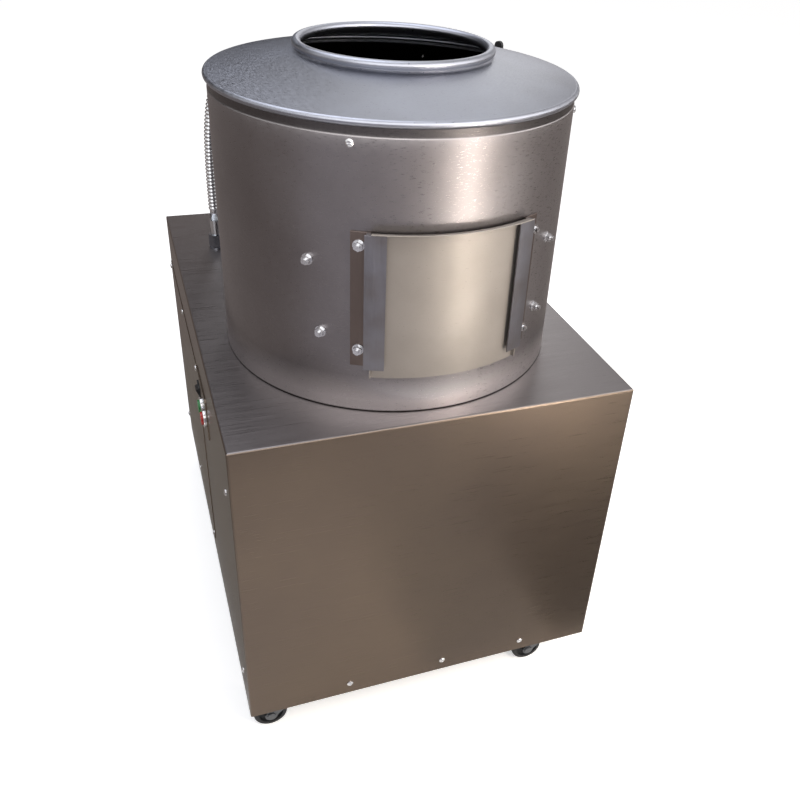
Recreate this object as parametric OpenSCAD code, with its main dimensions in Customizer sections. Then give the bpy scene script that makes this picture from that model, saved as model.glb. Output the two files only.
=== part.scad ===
// Electric potato peeler: a lidded drum on a wheeled cabinet. A belt-driven abrasive disc turns in
// the drum, a sliding door lets the peeled potatoes out, and a hose feeds water through a valve.
// Millimetres, +Z up, front towards -Y. The origin is on the floor under the middle of the whole box.

/* [Cabinet] */
// Width of the cabinet
cabinet_w = 540; // [520:1:620]
// Depth of the cabinet
cabinet_d = 750; // [735:1:820]
// Height of the cabinet from its base to its deck
cabinet_h = 473; // [465:1:540]
// Thickness of the folded sheet steel
sheet_t = 1.5; // [1:0.1:2]
// Outer radius of the folded edges
fold_r = 3; // [2.5:0.5:5]
// Height of the plain strip above each side cover
apron_h = 80; // [70:1:110]
// Distance from the front face to the side covers
cover_start = 340; // [335:1:420]
// Height of the plain strip under each side cover
cover_foot = 43; // [36:1:80]
// Leg of the steel angles in the base frame
angle_leg = 30; // [26:1:36]
// Thickness of the steel angles
angle_t = 3; // [2.5:0.5:4]

/* [Casters] */
// Height of a caster from the floor to its plate
caster_h = 64; // [62:1:72]
// Diameter of a caster wheel
wheel_d = 50; // [44:1:50]
// Width of a caster wheel
wheel_w = 22; // [16:1:26]
// Distance between the kingpin and the wheel axle
wheel_trail = 26; // [22:1:32]

/* [Drum] */
// Outer diameter of the drum
drum_d = 456; // [446:1:464]
// Height of the drum wall above the deck
drum_h = 352; // [340:1:400]
// Thickness of the drum wall
drum_t = 1.5; // [1.2:0.1:2]
// Distance from the front face of the cabinet to the drum
drum_setback = 26; // [20:1:34]
// Height of the stepped band under the lid
band_h = 11; // [8:1:14]
// Thickness of the abrasive lining
lining_t = 4; // [3:0.5:5]
// Height of the lining's top edge above the deck
lining_top = 262; // [240:1:266]

/* [Lid] */
// Rise of the cone from its rim to its collar
lid_rise = 22; // [18:1:40]
// Clear width of the feed mouth
mouth_d = 228; // [200:1:260]
// Thickness of the rolled rim
rim_bead = 9; // [7:0.5:12]
// Thickness of the rolled collar
collar_bead = 11; // [8:0.5:14]

/* [Discharge door] */
// Turn of the door from the middle of the front, in degrees
door_turn = 1.8; // [0:0.1:4]
// Half of the angle that the door covers, in degrees
door_half = 24.3; // [23.5:0.1:25]
// Half of the angle of the opening behind the door, in degrees
opening_half = 16.5; // [14:0.1:17]
// Height of the door's lower edge above the deck
door_bottom = 52; // [48:1:56]
// Height of the rails' lower ends above the deck
rail_bottom = 66; // [62:1:70]
// Length of the rails
rail_h = 172; // [165:1:180]
// Room between the drum and the raised strip of a rail
rail_room = 9.6; // [7:0.1:12]

/* [Peeling disc] */
// Room between the peeling disc and the lining
disc_gap = 4.2; // [3.2:0.1:20]
// Number of waves round the disc
wave_count = 3; // [2:1:6]
// Height of the waves at the edge of the disc
wave_h = 9; // [4:1:10]
// Diameter of the main shaft
shaft_d = 30; // [26:1:32]

/* [Drive] */
// Distance between the main shaft and the motor shaft
shaft_gap = 311; // [300:1:320]
// Outer diameter of the driven pulley
driven_d = 250; // [220:1:260]
// Outer diameter of the drive pulley
drive_d = 75; // [65:1:85]
// Diameter of the motor body over its fins
motor_d = 170; // [150:1:180]
// Diameter of the motor shaft
motor_shaft_d = 24; // [19:1:28]
// Top width of the V-belt
belt_w = 12.6; // [10:0.1:13]
// Thickness of the V-belt
belt_t = 8; // [6:0.5:9]

/* [Water] */
// Outer diameter of the corrugated hose
hose_d = 16; // [14:0.5:18]
// Bore of the corrugated hose
hose_bore = 10; // [8:0.5:11]
// Distance from one rib of the hose to the next
hose_pitch = 6; // [5:0.5:9]
// Width across the flats of the hose nuts
nut_flats = 21; // [19:0.5:24]
// Outer diameter of the drain pipe
drain_d = 56; // [50:1:60]

/* [Controls] */
// Diameter of a push button
button_d = 18.8; // [16:0.2:20]
// Travel of a push button
button_travel = 3; // [2:0.5:4]
// Distance from the front face to the middle of the control plate
control_from_front = 277; // [265:1:280]

/* [Hidden] */
$fn = 72;

// Overrun of every cut
cut = 1;
// Clearance between seated pieces, running clearance of a shaft, and gap between moving faces
seat_gap = 0.1;
run_gap = 0.05;
slide_gap = 0.3;
// Gap that keeps the frame's sharp corners out of the folded corners of the sheet

// Main heights and places
base_z = caster_h;
deck_z = caster_h + cabinet_h;
half_w = cabinet_w / 2;
half_d = cabinet_d / 2;
drum_r = drum_d / 2;
drum_y = -half_d + drum_setback + drum_r;
motor_y = drum_y + shaft_gap;

// Pan screws and nuts
screw_r = 2;
head_r = 4.5;
head_h = 2.4;
head_skirt_share = 0.5;
head_top_share = 0.62;
recess_w = 1.1;
recess_depth = 1.2;
hole_gap = 0.2;
nut_r = 5.8;
nut_h = 5;
stud_r = 3;
stud_out = 4;
washer_r = 7;
washer_t = 1.2;
bolt_head_r = 5;
bolt_head_h = 2;

// Side and back covers
cover_t = 1.2;
cover_lap = 15;
cover_back = 15;
cover_corner = 5;
cover_screw_inset = 9;
back_inset = 12;
back_top = 30;
back_foot = 20;
louvre_w = 70;
louvre_h = 5;
louvre_pitch = 16;
louvre_rows = 6;
louvre_x_shares = [-0.16, 0.0];
louvre_z_share = 0.28;
hood_out = 5;
hood_t = 1.2;
front_screw_shares = [-0.228, 0.041, 0.283];
front_screw_z = 20;
side_screw_y = 43;
side_screw_drop = 89;
side_screw_foot = 53;

// Base frame
foot_plate = 92;
foot_plate_d = 70;
bearing_plate_t = 8;
bearing_plate_half = 65;
motor_rail_rise = 50;
motor_rail_offset = 100;

// Casters
kingpin_side = 58;
kingpin_front = 38;
caster_plate_w = 56;
caster_plate_t = 2.5;
caster_plate_r = 6;
caster_bolt_side = 20.5;
caster_bolt_r = 3;
caster_head_r = 5.2;
caster_head_h = 3;
caster_nut_h = 5;
kingpin_r = 4;
kingpin_head_r = 7.5;
kingpin_head_h = 2.2;
race_r = 17;
race_h = 3.5;
crown_r = 19;
crown_t = 6;
crown_lip = 2;
leg_t = 2.5;
leg_gap = 2;
axle_r = 4;
axle_head_r = 6.5;
axle_head_h = 2;
leg_eye_r = 9;
leg_front_share = 0.75;
wheel_round = 4;
wheel_dish = 4;
wheel_hub_r = 9;
wheel_rim_t = 7;

// Drum and lining
floor_t = 3;
floor_gap = 0.3;
band_step = 0.8;
lining_gap = 0.3;
lining_foot = 30;
lining_free = 31;
lining_joint = 0.1;
upper_bolt_z = 195;
lower_bolt_z = 105;
upper_bolt_az = 41.6;
lower_bolt_az = 37.8;
rear_bolt_az = 140;
lid_screw_drop = 13;
lid_screw_az = -28.8;
lid_screw_count = 4;

// Lid
lid_t = 1.5;
skirt_drop = 28;
skirt_gap = 0.4;
rim_overhang = 4.1;
rim_lift = 0.1;
collar_lift = 8;
neck_fillet = 5;
arc_steps = 8;

// Door, rails and seal
door_az = -90 + door_turn;
rail_t = 1.5;
rail_inner = 20;
rail_step = 26;
rail_outer = 30.3;
rail_bolt_az = 27.9;
rail_bolt_low = 23;
rail_bolt_high = 16;
seal_t = 2.2;
seal_w = 5;
opening_low = 60;
opening_high = 224;
door_t = 1.5;
lip_r = 3;
lip_out = 11.5;
lip_rise = 1.2;
door_above_rail = 0.4;

// Disc and shaft
disc_d = drum_d - 2 * (drum_t + lining_gap + lining_t + disc_gap);
disc_z = 27;
disc_plate_t = 6;
disc_hub_r = 32;
disc_hub_low = 3;
disc_collar_r = 46;
disc_collar_t = 4;
disc_collar_drop = 17;
paddle_count = 6;
paddle_h = 10;
paddle_t = 6;
coat_t = 5;
coat_edge_t = 5;
coat_rings = 8;
coat_steps = 72;
cap_r = 28;
cap_h = 15;
cap_bore_depth = 8;
shaft_tip_r = 12.5;
shaft_tip_h = 19;
shaft_tail = 18;

// Bearing housing
neck_r = 38;
neck_h = 20;
flange_r = 75;
flange_t = 12;
tube_r = 42;
tube_rise = 72;
bearing_r = 31;
bearing_h = 16;
bearing_groove = 1;
bearing_groove_low_share = 0.35;
bearing_groove_high_share = 0.7;
seal_seat_h = 12;
housing_bore_r = 24;
housing_bolt_pcd = 118;
housing_bolt_count = 4;
hex_r = 7.5;
hex_h = 6;
bolt_r = 5;

// Pulleys and belt
pulley_drop = 347;
pulley_w = 20;
pulley_hub_r = 26;
pulley_hub_h = 28;
pulley_web_t = 8;
pulley_rim_t = 8;
groove_angle = 19;
groove_gap = 0.35;
groove_spare = 3;
web_holes = 6;
web_hole_share = 0.6;
web_hole_r = 20;
drive_hub_r = 20;

// Motor
motor_plate_t = 8;
motor_plate_w = 240;
motor_plate_d = 226;
motor_pilot_r = 60;
motor_flange_r = 100;
motor_flange_t = 10;
shield_h = 26;
stator_h = 140;
fin_count = 28;
fin_h = 5;
fin_t = 3;
shield_share = 0.94;
fan_cover_h = 58;
fan_cover_t = 1.5;
fan_lap = 10;
fan_r = 62;
fan_h = 20;
fan_blades = 8;
fan_blade_t = 3;
fan_hub_r = 20;
fan_hole_r = 4;
fan_hole_rings = [22, 38, 54];
motor_bolt_pcd = 172;
motor_slot = 36;
box_w = 80;
box_h = 90;
box_out = 44;
box_r = 6;
box_lid_t = 4;

// Drain
drain_wall = 2;
drain_neck = 1;
drain_spigot_gap = 0.5;
drain_x = 130;
drain_back = 100;
drain_bend_r = 46;
drain_drop = 120;
drain_reach = 38;
drain_collar = 8;
drain_collar_t = 1.5;

// Water line
fitting_side = 70;
fitting_front = 590;
fitting_washer_r = 12;
fitting_washer_t = 2.5;
union_h = 22;
ferrule_h = 25;
ferrule_r = 8.4;
thread_r = 10.4;
fitting_drop = 24;
pipe_r = 8;
inlet_drop = 60;
inlet_bend_r = 18;
inlet_thread_r = 10.48;
inlet_reach = 25;
back_nut_r = 15;
back_nut_h = 7;
inlet_az = 30;
inlet_below_rim = 52;
inlet_z = drum_h - inlet_below_rim;
valve_off = 25;
valve_side = 38;
valve_r = 12;
valve_hex_r = 14.5;
valve_hex_h = 12;
valve_run = 28;
stem_boss_r = 8;
stem_boss_out = 18;
stem_r = 4;
lever_t = 2.5;
lever_hub_r = 9;
lever_len = 60;
lever_w = 10;
sleeve_len = 36;
sleeve_w = 13;
sleeve_t = 5;
nozzle_r = 8;
nozzle_nut_r = 11;
nozzle_in = 14;
nozzle_drop = 16;
rose_r = 12;
rose_h = 9;
rose_angle = 40;
hose_root_share = 0.86;
hose_sides = 8;
hose_bore_every = 4;
// Route of the hose from the deck fitting to the valve, before the origin is moved, heights from the deck
hose_points = [
    [-200, 215, 49.8], [-200, 215, 90], [-199, 215, 150], [-195, 214, 210], [-183, 212, 262],
    [-155, 209, 300], [-110, 205, 319], [-55, 202, 323], [5, 198, 319], [60, 190, 312],
    [105, 173, 306], [136, 146, 301], [154.1, 118.1, 300], [162.4, 103.7, 300]
];
hose_foot_z = 49.8;
hose_home_z = 300;
// The heights stretch when the valve sits at another height
hose_stretch = (inlet_z - hose_foot_z) / (hose_home_z - hose_foot_z);
hose_route = [for (p = hose_points) [p[0], p[1], hose_foot_z + (p[2] - hose_foot_z) * hose_stretch]];

// Controls
plate_w = 106;
plate_h = 70;
plate_t = 2;
plate_r = 6;
control_drop = 105;
control_y_shares = [0.24, -0.09, -0.39];
ring_r = 13.5;
ring_h = 4;
ring_round = 1.2;
button_proud = 3;
button_deep = 14;
button_foot = 6;
body_w = 100;
body_h = 56;
body_out = 40;
body_r = 5;
bezel_w = 24;
bezel_h = 36;
bezel_t = 2;
rocker_w = 15;
rocker_r = 12;
rocker_sink = 3;
rocker_dip = 3;
rocker_tilt = 9;

// Cable gland
gland_side = 80;
gland_z = 66;
gland_hex_r = 12;
gland_hex_h = 6;
gland_nose_r = 9;
gland_nose_h = 14;
gland_thread_r = 8;
gland_in = 12;
gland_bore_r = 4.5;

// Places that several pieces share
disc_top = disc_z + disc_plate_t + coat_t;
door_r = drum_r + seal_t + slide_gap;
rail_top = rail_bottom + rail_h;
lip_z = rail_top + door_above_rail;
rim_z = drum_h + rim_bead / 2 + rim_lift;
rim_r = drum_r + rim_overhang - rim_bead / 2;
collar_z = rim_z + rim_bead / 2 + lid_rise + collar_lift;
collar_r = mouth_d / 2 + collar_bead / 2;
control_y = -half_d + control_from_front;
control_z = deck_z - control_drop;
fitting_x = -half_w + fitting_side;
fitting_y = -half_d + fitting_front;
drain_y = drum_y + drain_back;
drain_z = deck_z - drain_drop;
inlet_line_z = deck_z - inlet_drop;
cover_y0 = -half_d + cover_start;
cover_y1 = half_d - cover_back;
cover_z0 = base_z + cover_foot;
cover_z1 = deck_z - apron_h;
back_z0 = base_z + back_foot;
back_z1 = deck_z - back_top;
back_half = half_w - back_inset;
left_reach = half_w + plate_t + ring_h + button_proud;
right_reach = half_w + cover_t + head_h;
front_reach = half_d + head_h;
rear_reach = half_d + cover_t + drain_reach;

// Moves the origin under the middle of the whole box
module placed() {
    translate([(left_reach - right_reach) / 2, (front_reach - rear_reach) / 2, 0]) children();
}

// Flat shapes and simple bodies

module rounded_rect(w, h, r) {
    square([w - 2 * r, h], center = true);
    square([w, h - 2 * r], center = true);
    for (sx = [-1, 1], sy = [-1, 1]) translate([sx * (w / 2 - r), sy * (h / 2 - r)]) circle(r);
}

module folded_outline(w, h, r) {
    translate([-w / 2, 0]) square([w, h - r]);
    translate([-w / 2 + r, 0]) square([w - 2 * r, h]);
    for (s = [-1, 1]) translate([s * (w / 2 - r), h - r]) circle(r);
}

module folded_box(w, d, h, r) {
    intersection() {
        linear_extrude(h) rounded_rect(w, d, r);
        translate([0, d / 2 + cut, 0]) rotate([90, 0, 0])
            linear_extrude(d + 2 * cut) folded_outline(w, h, r);
        translate([-w / 2 - cut, 0, 0]) rotate([90, 0, 90])
            linear_extrude(w + 2 * cut) folded_outline(d, h, r);
    }
}

module ring(r_out, r_in, h) {
    difference() {
        cylinder(h = h, r = r_out);
        translate([0, 0, -cut]) cylinder(h = h + 2 * cut, r = r_in);
    }
}

module arc_wall(r_in, r_out, az0, az1, h) {
    rotate([0, 0, az0]) rotate_extrude(angle = az1 - az0)
        translate([r_in, 0]) square([r_out - r_in, h]);
}

// Puts children on the drum with their +Z pointing outwards, z counted from the deck
module on_drum(az, z, r) {
    translate([0, drum_y, deck_z + z]) rotate([0, 0, az]) translate([r, 0, 0]) rotate([0, 90, 0])
        children();
}

module at_drum() {
    translate([0, drum_y, deck_z]) children();
}

// Pan head screw with a cross recess, seated at z = 0
module pan_screw(depth) {
    difference() {
        union() {
            cylinder(h = head_h * head_skirt_share, r = head_r);
            translate([0, 0, head_h * head_skirt_share])
                cylinder(h = head_h * (1 - head_skirt_share), r1 = head_r, r2 = head_r * head_top_share);
        }
        for (a = [0, 90]) rotate([0, 0, a]) translate([0, 0, head_h])
            cube([head_r * 2 * head_top_share, recess_w, recess_depth * 2], center = true);
    }
    translate([0, 0, -depth]) cylinder(h = depth, r = screw_r);
}

// Washer, nut and stud end outside, round head inside, through a wall of the given depth
module nut_bolt(depth) {
    cylinder(h = washer_t, r = washer_r);
    translate([0, 0, washer_t]) cylinder(h = nut_h, r = nut_r, $fn = 6);
    translate([0, 0, -depth]) cylinder(h = depth + washer_t + nut_h + stud_out, r = stud_r);
    translate([0, 0, -depth - bolt_head_h]) cylinder(h = bolt_head_h, r = bolt_head_r);
}

// Base frame of steel angles

frame_x = half_w - fold_r - seat_gap;
frame_y = half_d - fold_r - seat_gap;
frame_top = deck_z - sheet_t;

// The drive hangs at fixed distances under the deck
pulley_z = deck_z - pulley_drop;
motor_rail_z = pulley_z + motor_rail_rise;
shaft_low_z = pulley_z - shaft_tail;
tube_low_z = pulley_z + tube_rise;

module angle_outline() {
    polygon([[0, 0], [angle_leg, 0], [angle_leg, angle_t], [angle_t, angle_t],
             [angle_t, angle_leg], [0, angle_leg]]);
}

module cross_angle(y) {
    translate([-frame_x, y, 0]) rotate([90, 0, 90]) linear_extrude(2 * frame_x) angle_outline();
}

module side_angle() {
    translate([-frame_x, frame_y, 0]) rotate([90, 0, 0]) linear_extrude(2 * frame_y) angle_outline();
}

module angle_ring() {
    for (m = [0, 1]) {
        mirror([0, m, 0]) cross_angle(-frame_y);
        mirror([m, 0, 0]) side_angle();
    }
}

module base_frame() color("#55585a") difference() {
    union() {
        translate([0, 0, base_z]) angle_ring();
        translate([0, 0, frame_top]) mirror([0, 0, 1]) angle_ring();
        for (sx = [-1, 1], sy = [-1, 1]) {
            scale([sx, sy, 1]) translate([-frame_x, -frame_y, base_z])
                linear_extrude(frame_top - base_z) angle_outline();
            scale([sx, sy, 1]) translate([-frame_x, -frame_y, base_z])
                cube([foot_plate, foot_plate_d, angle_t]);
        }
        for (m = [0, 1]) mirror([m, 0, 0]) translate([0, 0, motor_rail_z]) mirror([0, 0, 1]) side_angle();
        for (s = [-1, 1]) translate([0, motor_y, motor_rail_z]) mirror([0, 0, 1])
            mirror([0, (1 - s) / 2, 0]) cross_angle(motor_rail_offset - angle_leg);
        translate([-frame_x, drum_y - bearing_plate_half, frame_top - bearing_plate_t])
            cube([2 * frame_x, 2 * bearing_plate_half, bearing_plate_t]);
    }
    at_drum() translate([0, 0, -sheet_t - bearing_plate_t - cut])
        cylinder(h = bearing_plate_t + 2 * cut, r = neck_r + seat_gap);
    housing_bolt_places() cylinder(h = bearing_plate_t + 2 * cut, r = bolt_r + hole_gap, center = true);
    caster_bolt_places() cylinder(h = 4 * angle_t, r = caster_bolt_r + hole_gap, center = true);
    cabinet_screw_places() translate([0, 0, -screw_depth - 2 * cut])
        cylinder(h = screw_depth + 2 * cut, r = screw_r + hole_gap);
}

// Cabinet skin, covers and their screws

module side_opening(side) {
    translate([side * half_w, (cover_y0 + cover_y1) / 2, (cover_z0 + cover_z1) / 2])
        cube([4 * fold_r, cover_y1 - cover_y0 - 2 * cover_lap, cover_z1 - cover_z0 - 2 * cover_lap],
             center = true);
}

module cabinet_skin() color("#6f675c") difference() {
    translate([0, 0, base_z]) folded_box(cabinet_w, cabinet_d, cabinet_h, fold_r);
    translate([0, 0, base_z - cut])
        folded_box(cabinet_w - 2 * sheet_t, cabinet_d - 2 * sheet_t, cabinet_h - sheet_t + cut,
                   fold_r - sheet_t);
    for (side = [-1, 1]) side_opening(side);
    translate([0, half_d, (back_z0 + back_z1) / 2])
        cube([2 * (back_half - cover_lap), 4 * fold_r, back_z1 - back_z0 - 2 * cover_lap], center = true);
    at_drum() translate([0, 0, -sheet_t - cut]) cylinder(h = sheet_t + 2 * cut, r = neck_r + seat_gap);
    translate([drain_x, drain_y, deck_z - sheet_t - cut])
        cylinder(h = sheet_t + 2 * cut, r = drain_d / 2 + seat_gap);
    translate([fitting_x, fitting_y, deck_z - sheet_t - cut])
        cylinder(h = sheet_t + 2 * cut, r = thread_r + seat_gap);
    control_holes();
    cabinet_screw_places() translate([0, 0, -screw_depth]) cylinder(h = screw_depth + cut, r = screw_r + hole_gap);
}

module cover_plate(w, h) {
    linear_extrude(cover_t) rounded_rect(w, h, cover_corner);
}

module side_cover(side) difference() {
    translate([side * half_w, (cover_y0 + cover_y1) / 2, (cover_z0 + cover_z1) / 2])
        rotate([90, 0, side * 90]) cover_plate(cover_y1 - cover_y0, cover_z1 - cover_z0);
    cabinet_screw_places() translate([0, 0, -screw_depth]) cylinder(h = screw_depth + cut, r = screw_r + hole_gap);
}

module left_cover() color("#7d7466") side_cover(-1);

module right_cover() color("#7d7466") side_cover(1);

// One pressed louvre: a sheared slot under a half-round hood, seated at z = 0
module louvre_slot() {
    w = louvre_w - 2 * hood_t - 2 * seat_gap;
    translate([-w / 2, -louvre_h / 2, -cut]) cube([w, louvre_h, cover_t + 2 * cut]);
}

module louvre_hood() {
    difference() {
        translate([-louvre_w / 2, 0, cover_t]) rotate([0, 90, 0]) cylinder(h = louvre_w, r = hood_out);
        translate([-louvre_w / 2 + hood_t, 0, cover_t]) rotate([0, 90, 0])
            cylinder(h = louvre_w - 2 * hood_t, r = hood_out - hood_t);
        translate([-louvre_w / 2 - cut, -hood_out - cut, cover_t - hood_out - cut])
            cube([louvre_w + 2 * cut, 2 * hood_out + 2 * cut, hood_out + cut - cover_t / 2]);
        translate([-louvre_w / 2 - cut, -hood_out - cut, 0])
            cube([louvre_w + 2 * cut, hood_out + cut - hood_t, hood_out + cover_t + cut]);
    }
}

module louvre_places() {
    back_h = back_z1 - back_z0;
    for (share = louvre_x_shares, row = [0:louvre_rows - 1])
        translate([share * cabinet_w, half_d, back_z0 + back_h * louvre_z_share + row * louvre_pitch])
            rotate([90, 0, 180]) children();
}

module back_cover() color("#7d7466") difference() {
    union() {
        difference() {
            translate([0, half_d, (back_z0 + back_z1) / 2]) rotate([90, 0, 180])
                cover_plate(2 * back_half, back_z1 - back_z0);
            louvre_places() louvre_slot();
        }
        louvre_places() louvre_hood();
    }
    translate([drain_x, half_d - cut, drain_z]) rotate([-90, 0, 0])
        cylinder(h = cover_t + 2 * cut, r = drain_d / 2 + seat_gap);
    translate([fitting_x, half_d - cut, inlet_line_z]) rotate([-90, 0, 0])
        cylinder(h = cover_t + 2 * cut, r = inlet_thread_r + seat_gap);
    translate([-half_w + gland_side, half_d - cut, base_z + gland_z]) rotate([-90, 0, 0])
        cylinder(h = cover_t + 2 * cut, r = gland_thread_r + seat_gap);
    cabinet_screw_places() translate([0, 0, -screw_depth]) cylinder(h = screw_depth + cut, r = screw_r + hole_gap);
}

screw_depth = 6;

// Every screw of the cabinet, with +Z out of the sheet that it seats on
module cabinet_screw_places() {
    for (share = front_screw_shares)
        translate([share * cabinet_w, -half_d, base_z + front_screw_z]) rotate([90, 0, 0]) children();
    for (side = [-1, 1], z = [deck_z - side_screw_drop, base_z + side_screw_foot])
        translate([side * half_w, -half_d + side_screw_y, z]) rotate([0, side * 90, 0]) children();
    for (side = [-1, 1], share = [0, 1 / 2, 1], z = [cover_z0 + cover_screw_inset, cover_z1 - cover_screw_inset])
        translate([side * (half_w + cover_t),
                   cover_y0 + cover_screw_inset + share * (cover_y1 - cover_y0 - 2 * cover_screw_inset), z])
            rotate([0, side * 90, 0]) children();
    for (side = [-1, 1], share = [0, 1 / 2, 1])
        translate([side * (back_half - cover_screw_inset), half_d + cover_t,
                   back_z0 + cover_screw_inset + share * (back_z1 - back_z0 - 2 * cover_screw_inset)])
            rotate([-90, 0, 0]) children();
}

module cabinet_screws() color("#c9c9cc") cabinet_screw_places() pan_screw(screw_depth - cut);

// Casters

kingpin_x = half_w - kingpin_side;
kingpin_y = half_d - kingpin_front;
crown_z = caster_h - caster_plate_t - race_h - slide_gap;

module kingpin_place(sx, sy) {
    translate([sx * kingpin_x, sy * kingpin_y, 0]) children();
}

module caster_bolt_places() {
    for (sx = [-1, 1], sy = [-1, 1], bx = [-1, 1], by = [-1, 1]) kingpin_place(sx, sy)
        translate([bx * caster_bolt_side, by * caster_bolt_side, caster_h - caster_plate_t]) children();
}

module caster_bolts() color("#a5a8ab") caster_bolt_places() {
    grip = caster_plate_t + angle_t + seat_gap;
    translate([0, 0, -seat_gap - caster_head_h]) cylinder(h = caster_head_h, r = caster_head_r, $fn = 6);
    translate([0, 0, -caster_head_h]) cylinder(h = caster_head_h + grip + caster_nut_h, r = caster_bolt_r);
    translate([0, 0, grip]) cylinder(h = caster_nut_h, r = caster_head_r, $fn = 6);
}

module caster_plate() {
    translate([0, 0, caster_h - caster_plate_t]) linear_extrude(caster_plate_t)
        rounded_rect(caster_plate_w, caster_plate_w, caster_plate_r);
    translate([0, 0, caster_h - caster_plate_t - race_h]) cylinder(h = race_h, r = race_r);
    translate([0, 0, crown_z - crown_t - slide_gap - kingpin_head_h])
        cylinder(h = caster_plate_t + race_h + crown_t + 2 * slide_gap + kingpin_head_h, r = kingpin_r);
    translate([0, 0, crown_z - crown_t - slide_gap - kingpin_head_h])
        cylinder(h = kingpin_head_h, r = kingpin_head_r);
}

module caster_plates() color("#b8bcc0") difference() {
    for (sx = [-1, 1], sy = [-1, 1]) kingpin_place(sx, sy) caster_plate();
    caster_bolt_places() cylinder(h = 4 * caster_plate_t, r = caster_bolt_r + hole_gap, center = true);
}

module fork_leg() {
    axle_z = wheel_d / 2;
    top_z = crown_z - crown_t + crown_lip;
    front_x = crown_r * leg_front_share;
    rotate([90, 0, 0]) linear_extrude(leg_t) {
        polygon([[front_x, top_z], [-crown_r - crown_lip, top_z], [-wheel_trail - leg_eye_r, axle_z],
                 [-wheel_trail, axle_z - leg_eye_r], [-wheel_trail + leg_eye_r, axle_z]]);
        translate([-wheel_trail, axle_z]) circle(leg_eye_r);
    }
}

module caster_fork() color("#b8bcc0") {
    leg_y = wheel_w / 2 + leg_gap;
    difference() {
        union() {
            translate([0, 0, crown_z - crown_t]) cylinder(h = crown_t, r = crown_r);
            translate([-crown_r, -leg_y - leg_t, crown_z - crown_t])
                cube([2 * crown_r * leg_front_share, 2 * (leg_y + leg_t), crown_lip]);
            translate([0, -leg_y, 0]) fork_leg();
            translate([0, leg_y + leg_t, 0]) fork_leg();
        }
        translate([0, 0, crown_z - crown_t - cut])
            cylinder(h = crown_t + 2 * cut, r = kingpin_r + run_gap);
    }
    translate([-wheel_trail, 0, wheel_d / 2]) rotate([90, 0, 0]) {
        cylinder(h = 2 * (leg_y + leg_t), r = axle_r, center = true);
        for (s = [-1, 1]) translate([0, 0, s * (leg_y + leg_t + axle_head_h / 2)])
            cylinder(h = axle_head_h, r = axle_head_r, center = true);
    }
}

module wheel_outline() {
    r = wheel_d / 2;
    w = wheel_w / 2;
    difference() {
        union() {
            translate([axle_r + run_gap, -w]) square([r - wheel_round - axle_r - run_gap, 2 * w]);
            translate([axle_r + run_gap, -w + wheel_round])
                square([r - axle_r - run_gap, 2 * w - 2 * wheel_round]);
            for (s = [-1, 1]) translate([r - wheel_round, s * (w - wheel_round)]) circle(wheel_round);
        }
        for (s = [-1, 1]) translate([wheel_hub_r, s > 0 ? w - wheel_dish : -w - cut])
            square([r - wheel_rim_t - wheel_hub_r, wheel_dish + cut]);
    }
}

module caster_wheel() color("#202224") translate([-wheel_trail, 0, wheel_d / 2]) rotate([90, 0, 0])
    rotate_extrude() wheel_outline();

// Drum wall, floor and lining

module drum_wall() color("#6a676b") difference() {
    at_drum() rotate_extrude() polygon([
        [drum_r - drum_t, 0], [drum_r, 0], [drum_r, drum_h - band_h],
        [drum_r - band_step, drum_h - band_h + band_step], [drum_r - band_step, drum_h],
        [drum_r - band_step - drum_t, drum_h], [drum_r - band_step - drum_t, drum_h - band_h + band_step],
        [drum_r - drum_t, drum_h - band_h]
    ]);
    at_drum() translate([0, 0, opening_low])
        arc_wall(drum_r - cut * 3, drum_r + cut, door_az - opening_half, door_az + opening_half,
                 opening_high - opening_low);
    lining_bolt_places() cylinder(h = 4 * drum_t, r = stud_r + hole_gap, center = true);
    rail_bolt_places() cylinder(h = 4 * drum_t, r = stud_r + hole_gap, center = true);
    lid_screw_places() cylinder(h = 4 * drum_t, r = screw_r + hole_gap, center = true);
    valve_frame() translate([-drum_t * 3, 0, 0]) rotate([0, 90, 0])
        translate([0, 0, -valve_off]) cylinder(h = 6 * drum_t, r = thread_r + seat_gap);
}

module drum_floor() color("#8b8a8c") difference() {
    at_drum() cylinder(h = floor_t, r = drum_r - drum_t - floor_gap);
    at_drum() translate([0, 0, -cut]) cylinder(h = floor_t + 2 * cut, r = neck_r + seat_gap);
    translate([drain_x, drain_y, deck_z - cut]) cylinder(h = floor_t + 2 * cut, r = drain_d / 2 + seat_gap);
}

module drum_lining() color("#4b4743") difference() {
    lining_r = drum_r - drum_t - lining_gap;
    at_drum() for (s = [0, 1]) mirror([s, 0, 0]) translate([0, 0, lining_foot])
        arc_wall(lining_r - lining_t, lining_r, -90 + lining_free, 90 - lining_joint, lining_top - lining_foot);
    lining_bolt_places() cylinder(h = 8 * lining_t, r = stud_r + hole_gap, center = true);
}

module lining_bolt_places() {
    for (s = [-1, 1]) {
        on_drum(-90 + s * upper_bolt_az, upper_bolt_z, drum_r) children();
        on_drum(-90 + s * lower_bolt_az, lower_bolt_z, drum_r) children();
        on_drum(-90 + s * rear_bolt_az, upper_bolt_z, drum_r) children();
        on_drum(-90 + s * rear_bolt_az, lower_bolt_z, drum_r) children();
    }
}

module lining_bolts() color("#c9c9cc") lining_bolt_places()
    translate([0, 0, seat_gap]) nut_bolt(drum_t + lining_gap + lining_t + 3 * seat_gap);

// Spun lid: rolled rim, shallow cone, fillet, neck and rolled collar, with a skirt inside the drum

function arc_points(cx, cy, r, a0, a1) =
    [for (i = [0:arc_steps]) let (a = a0 + (a1 - a0) * i / arc_steps) [cx + r * cos(a), cy + r * sin(a)]];

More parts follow.
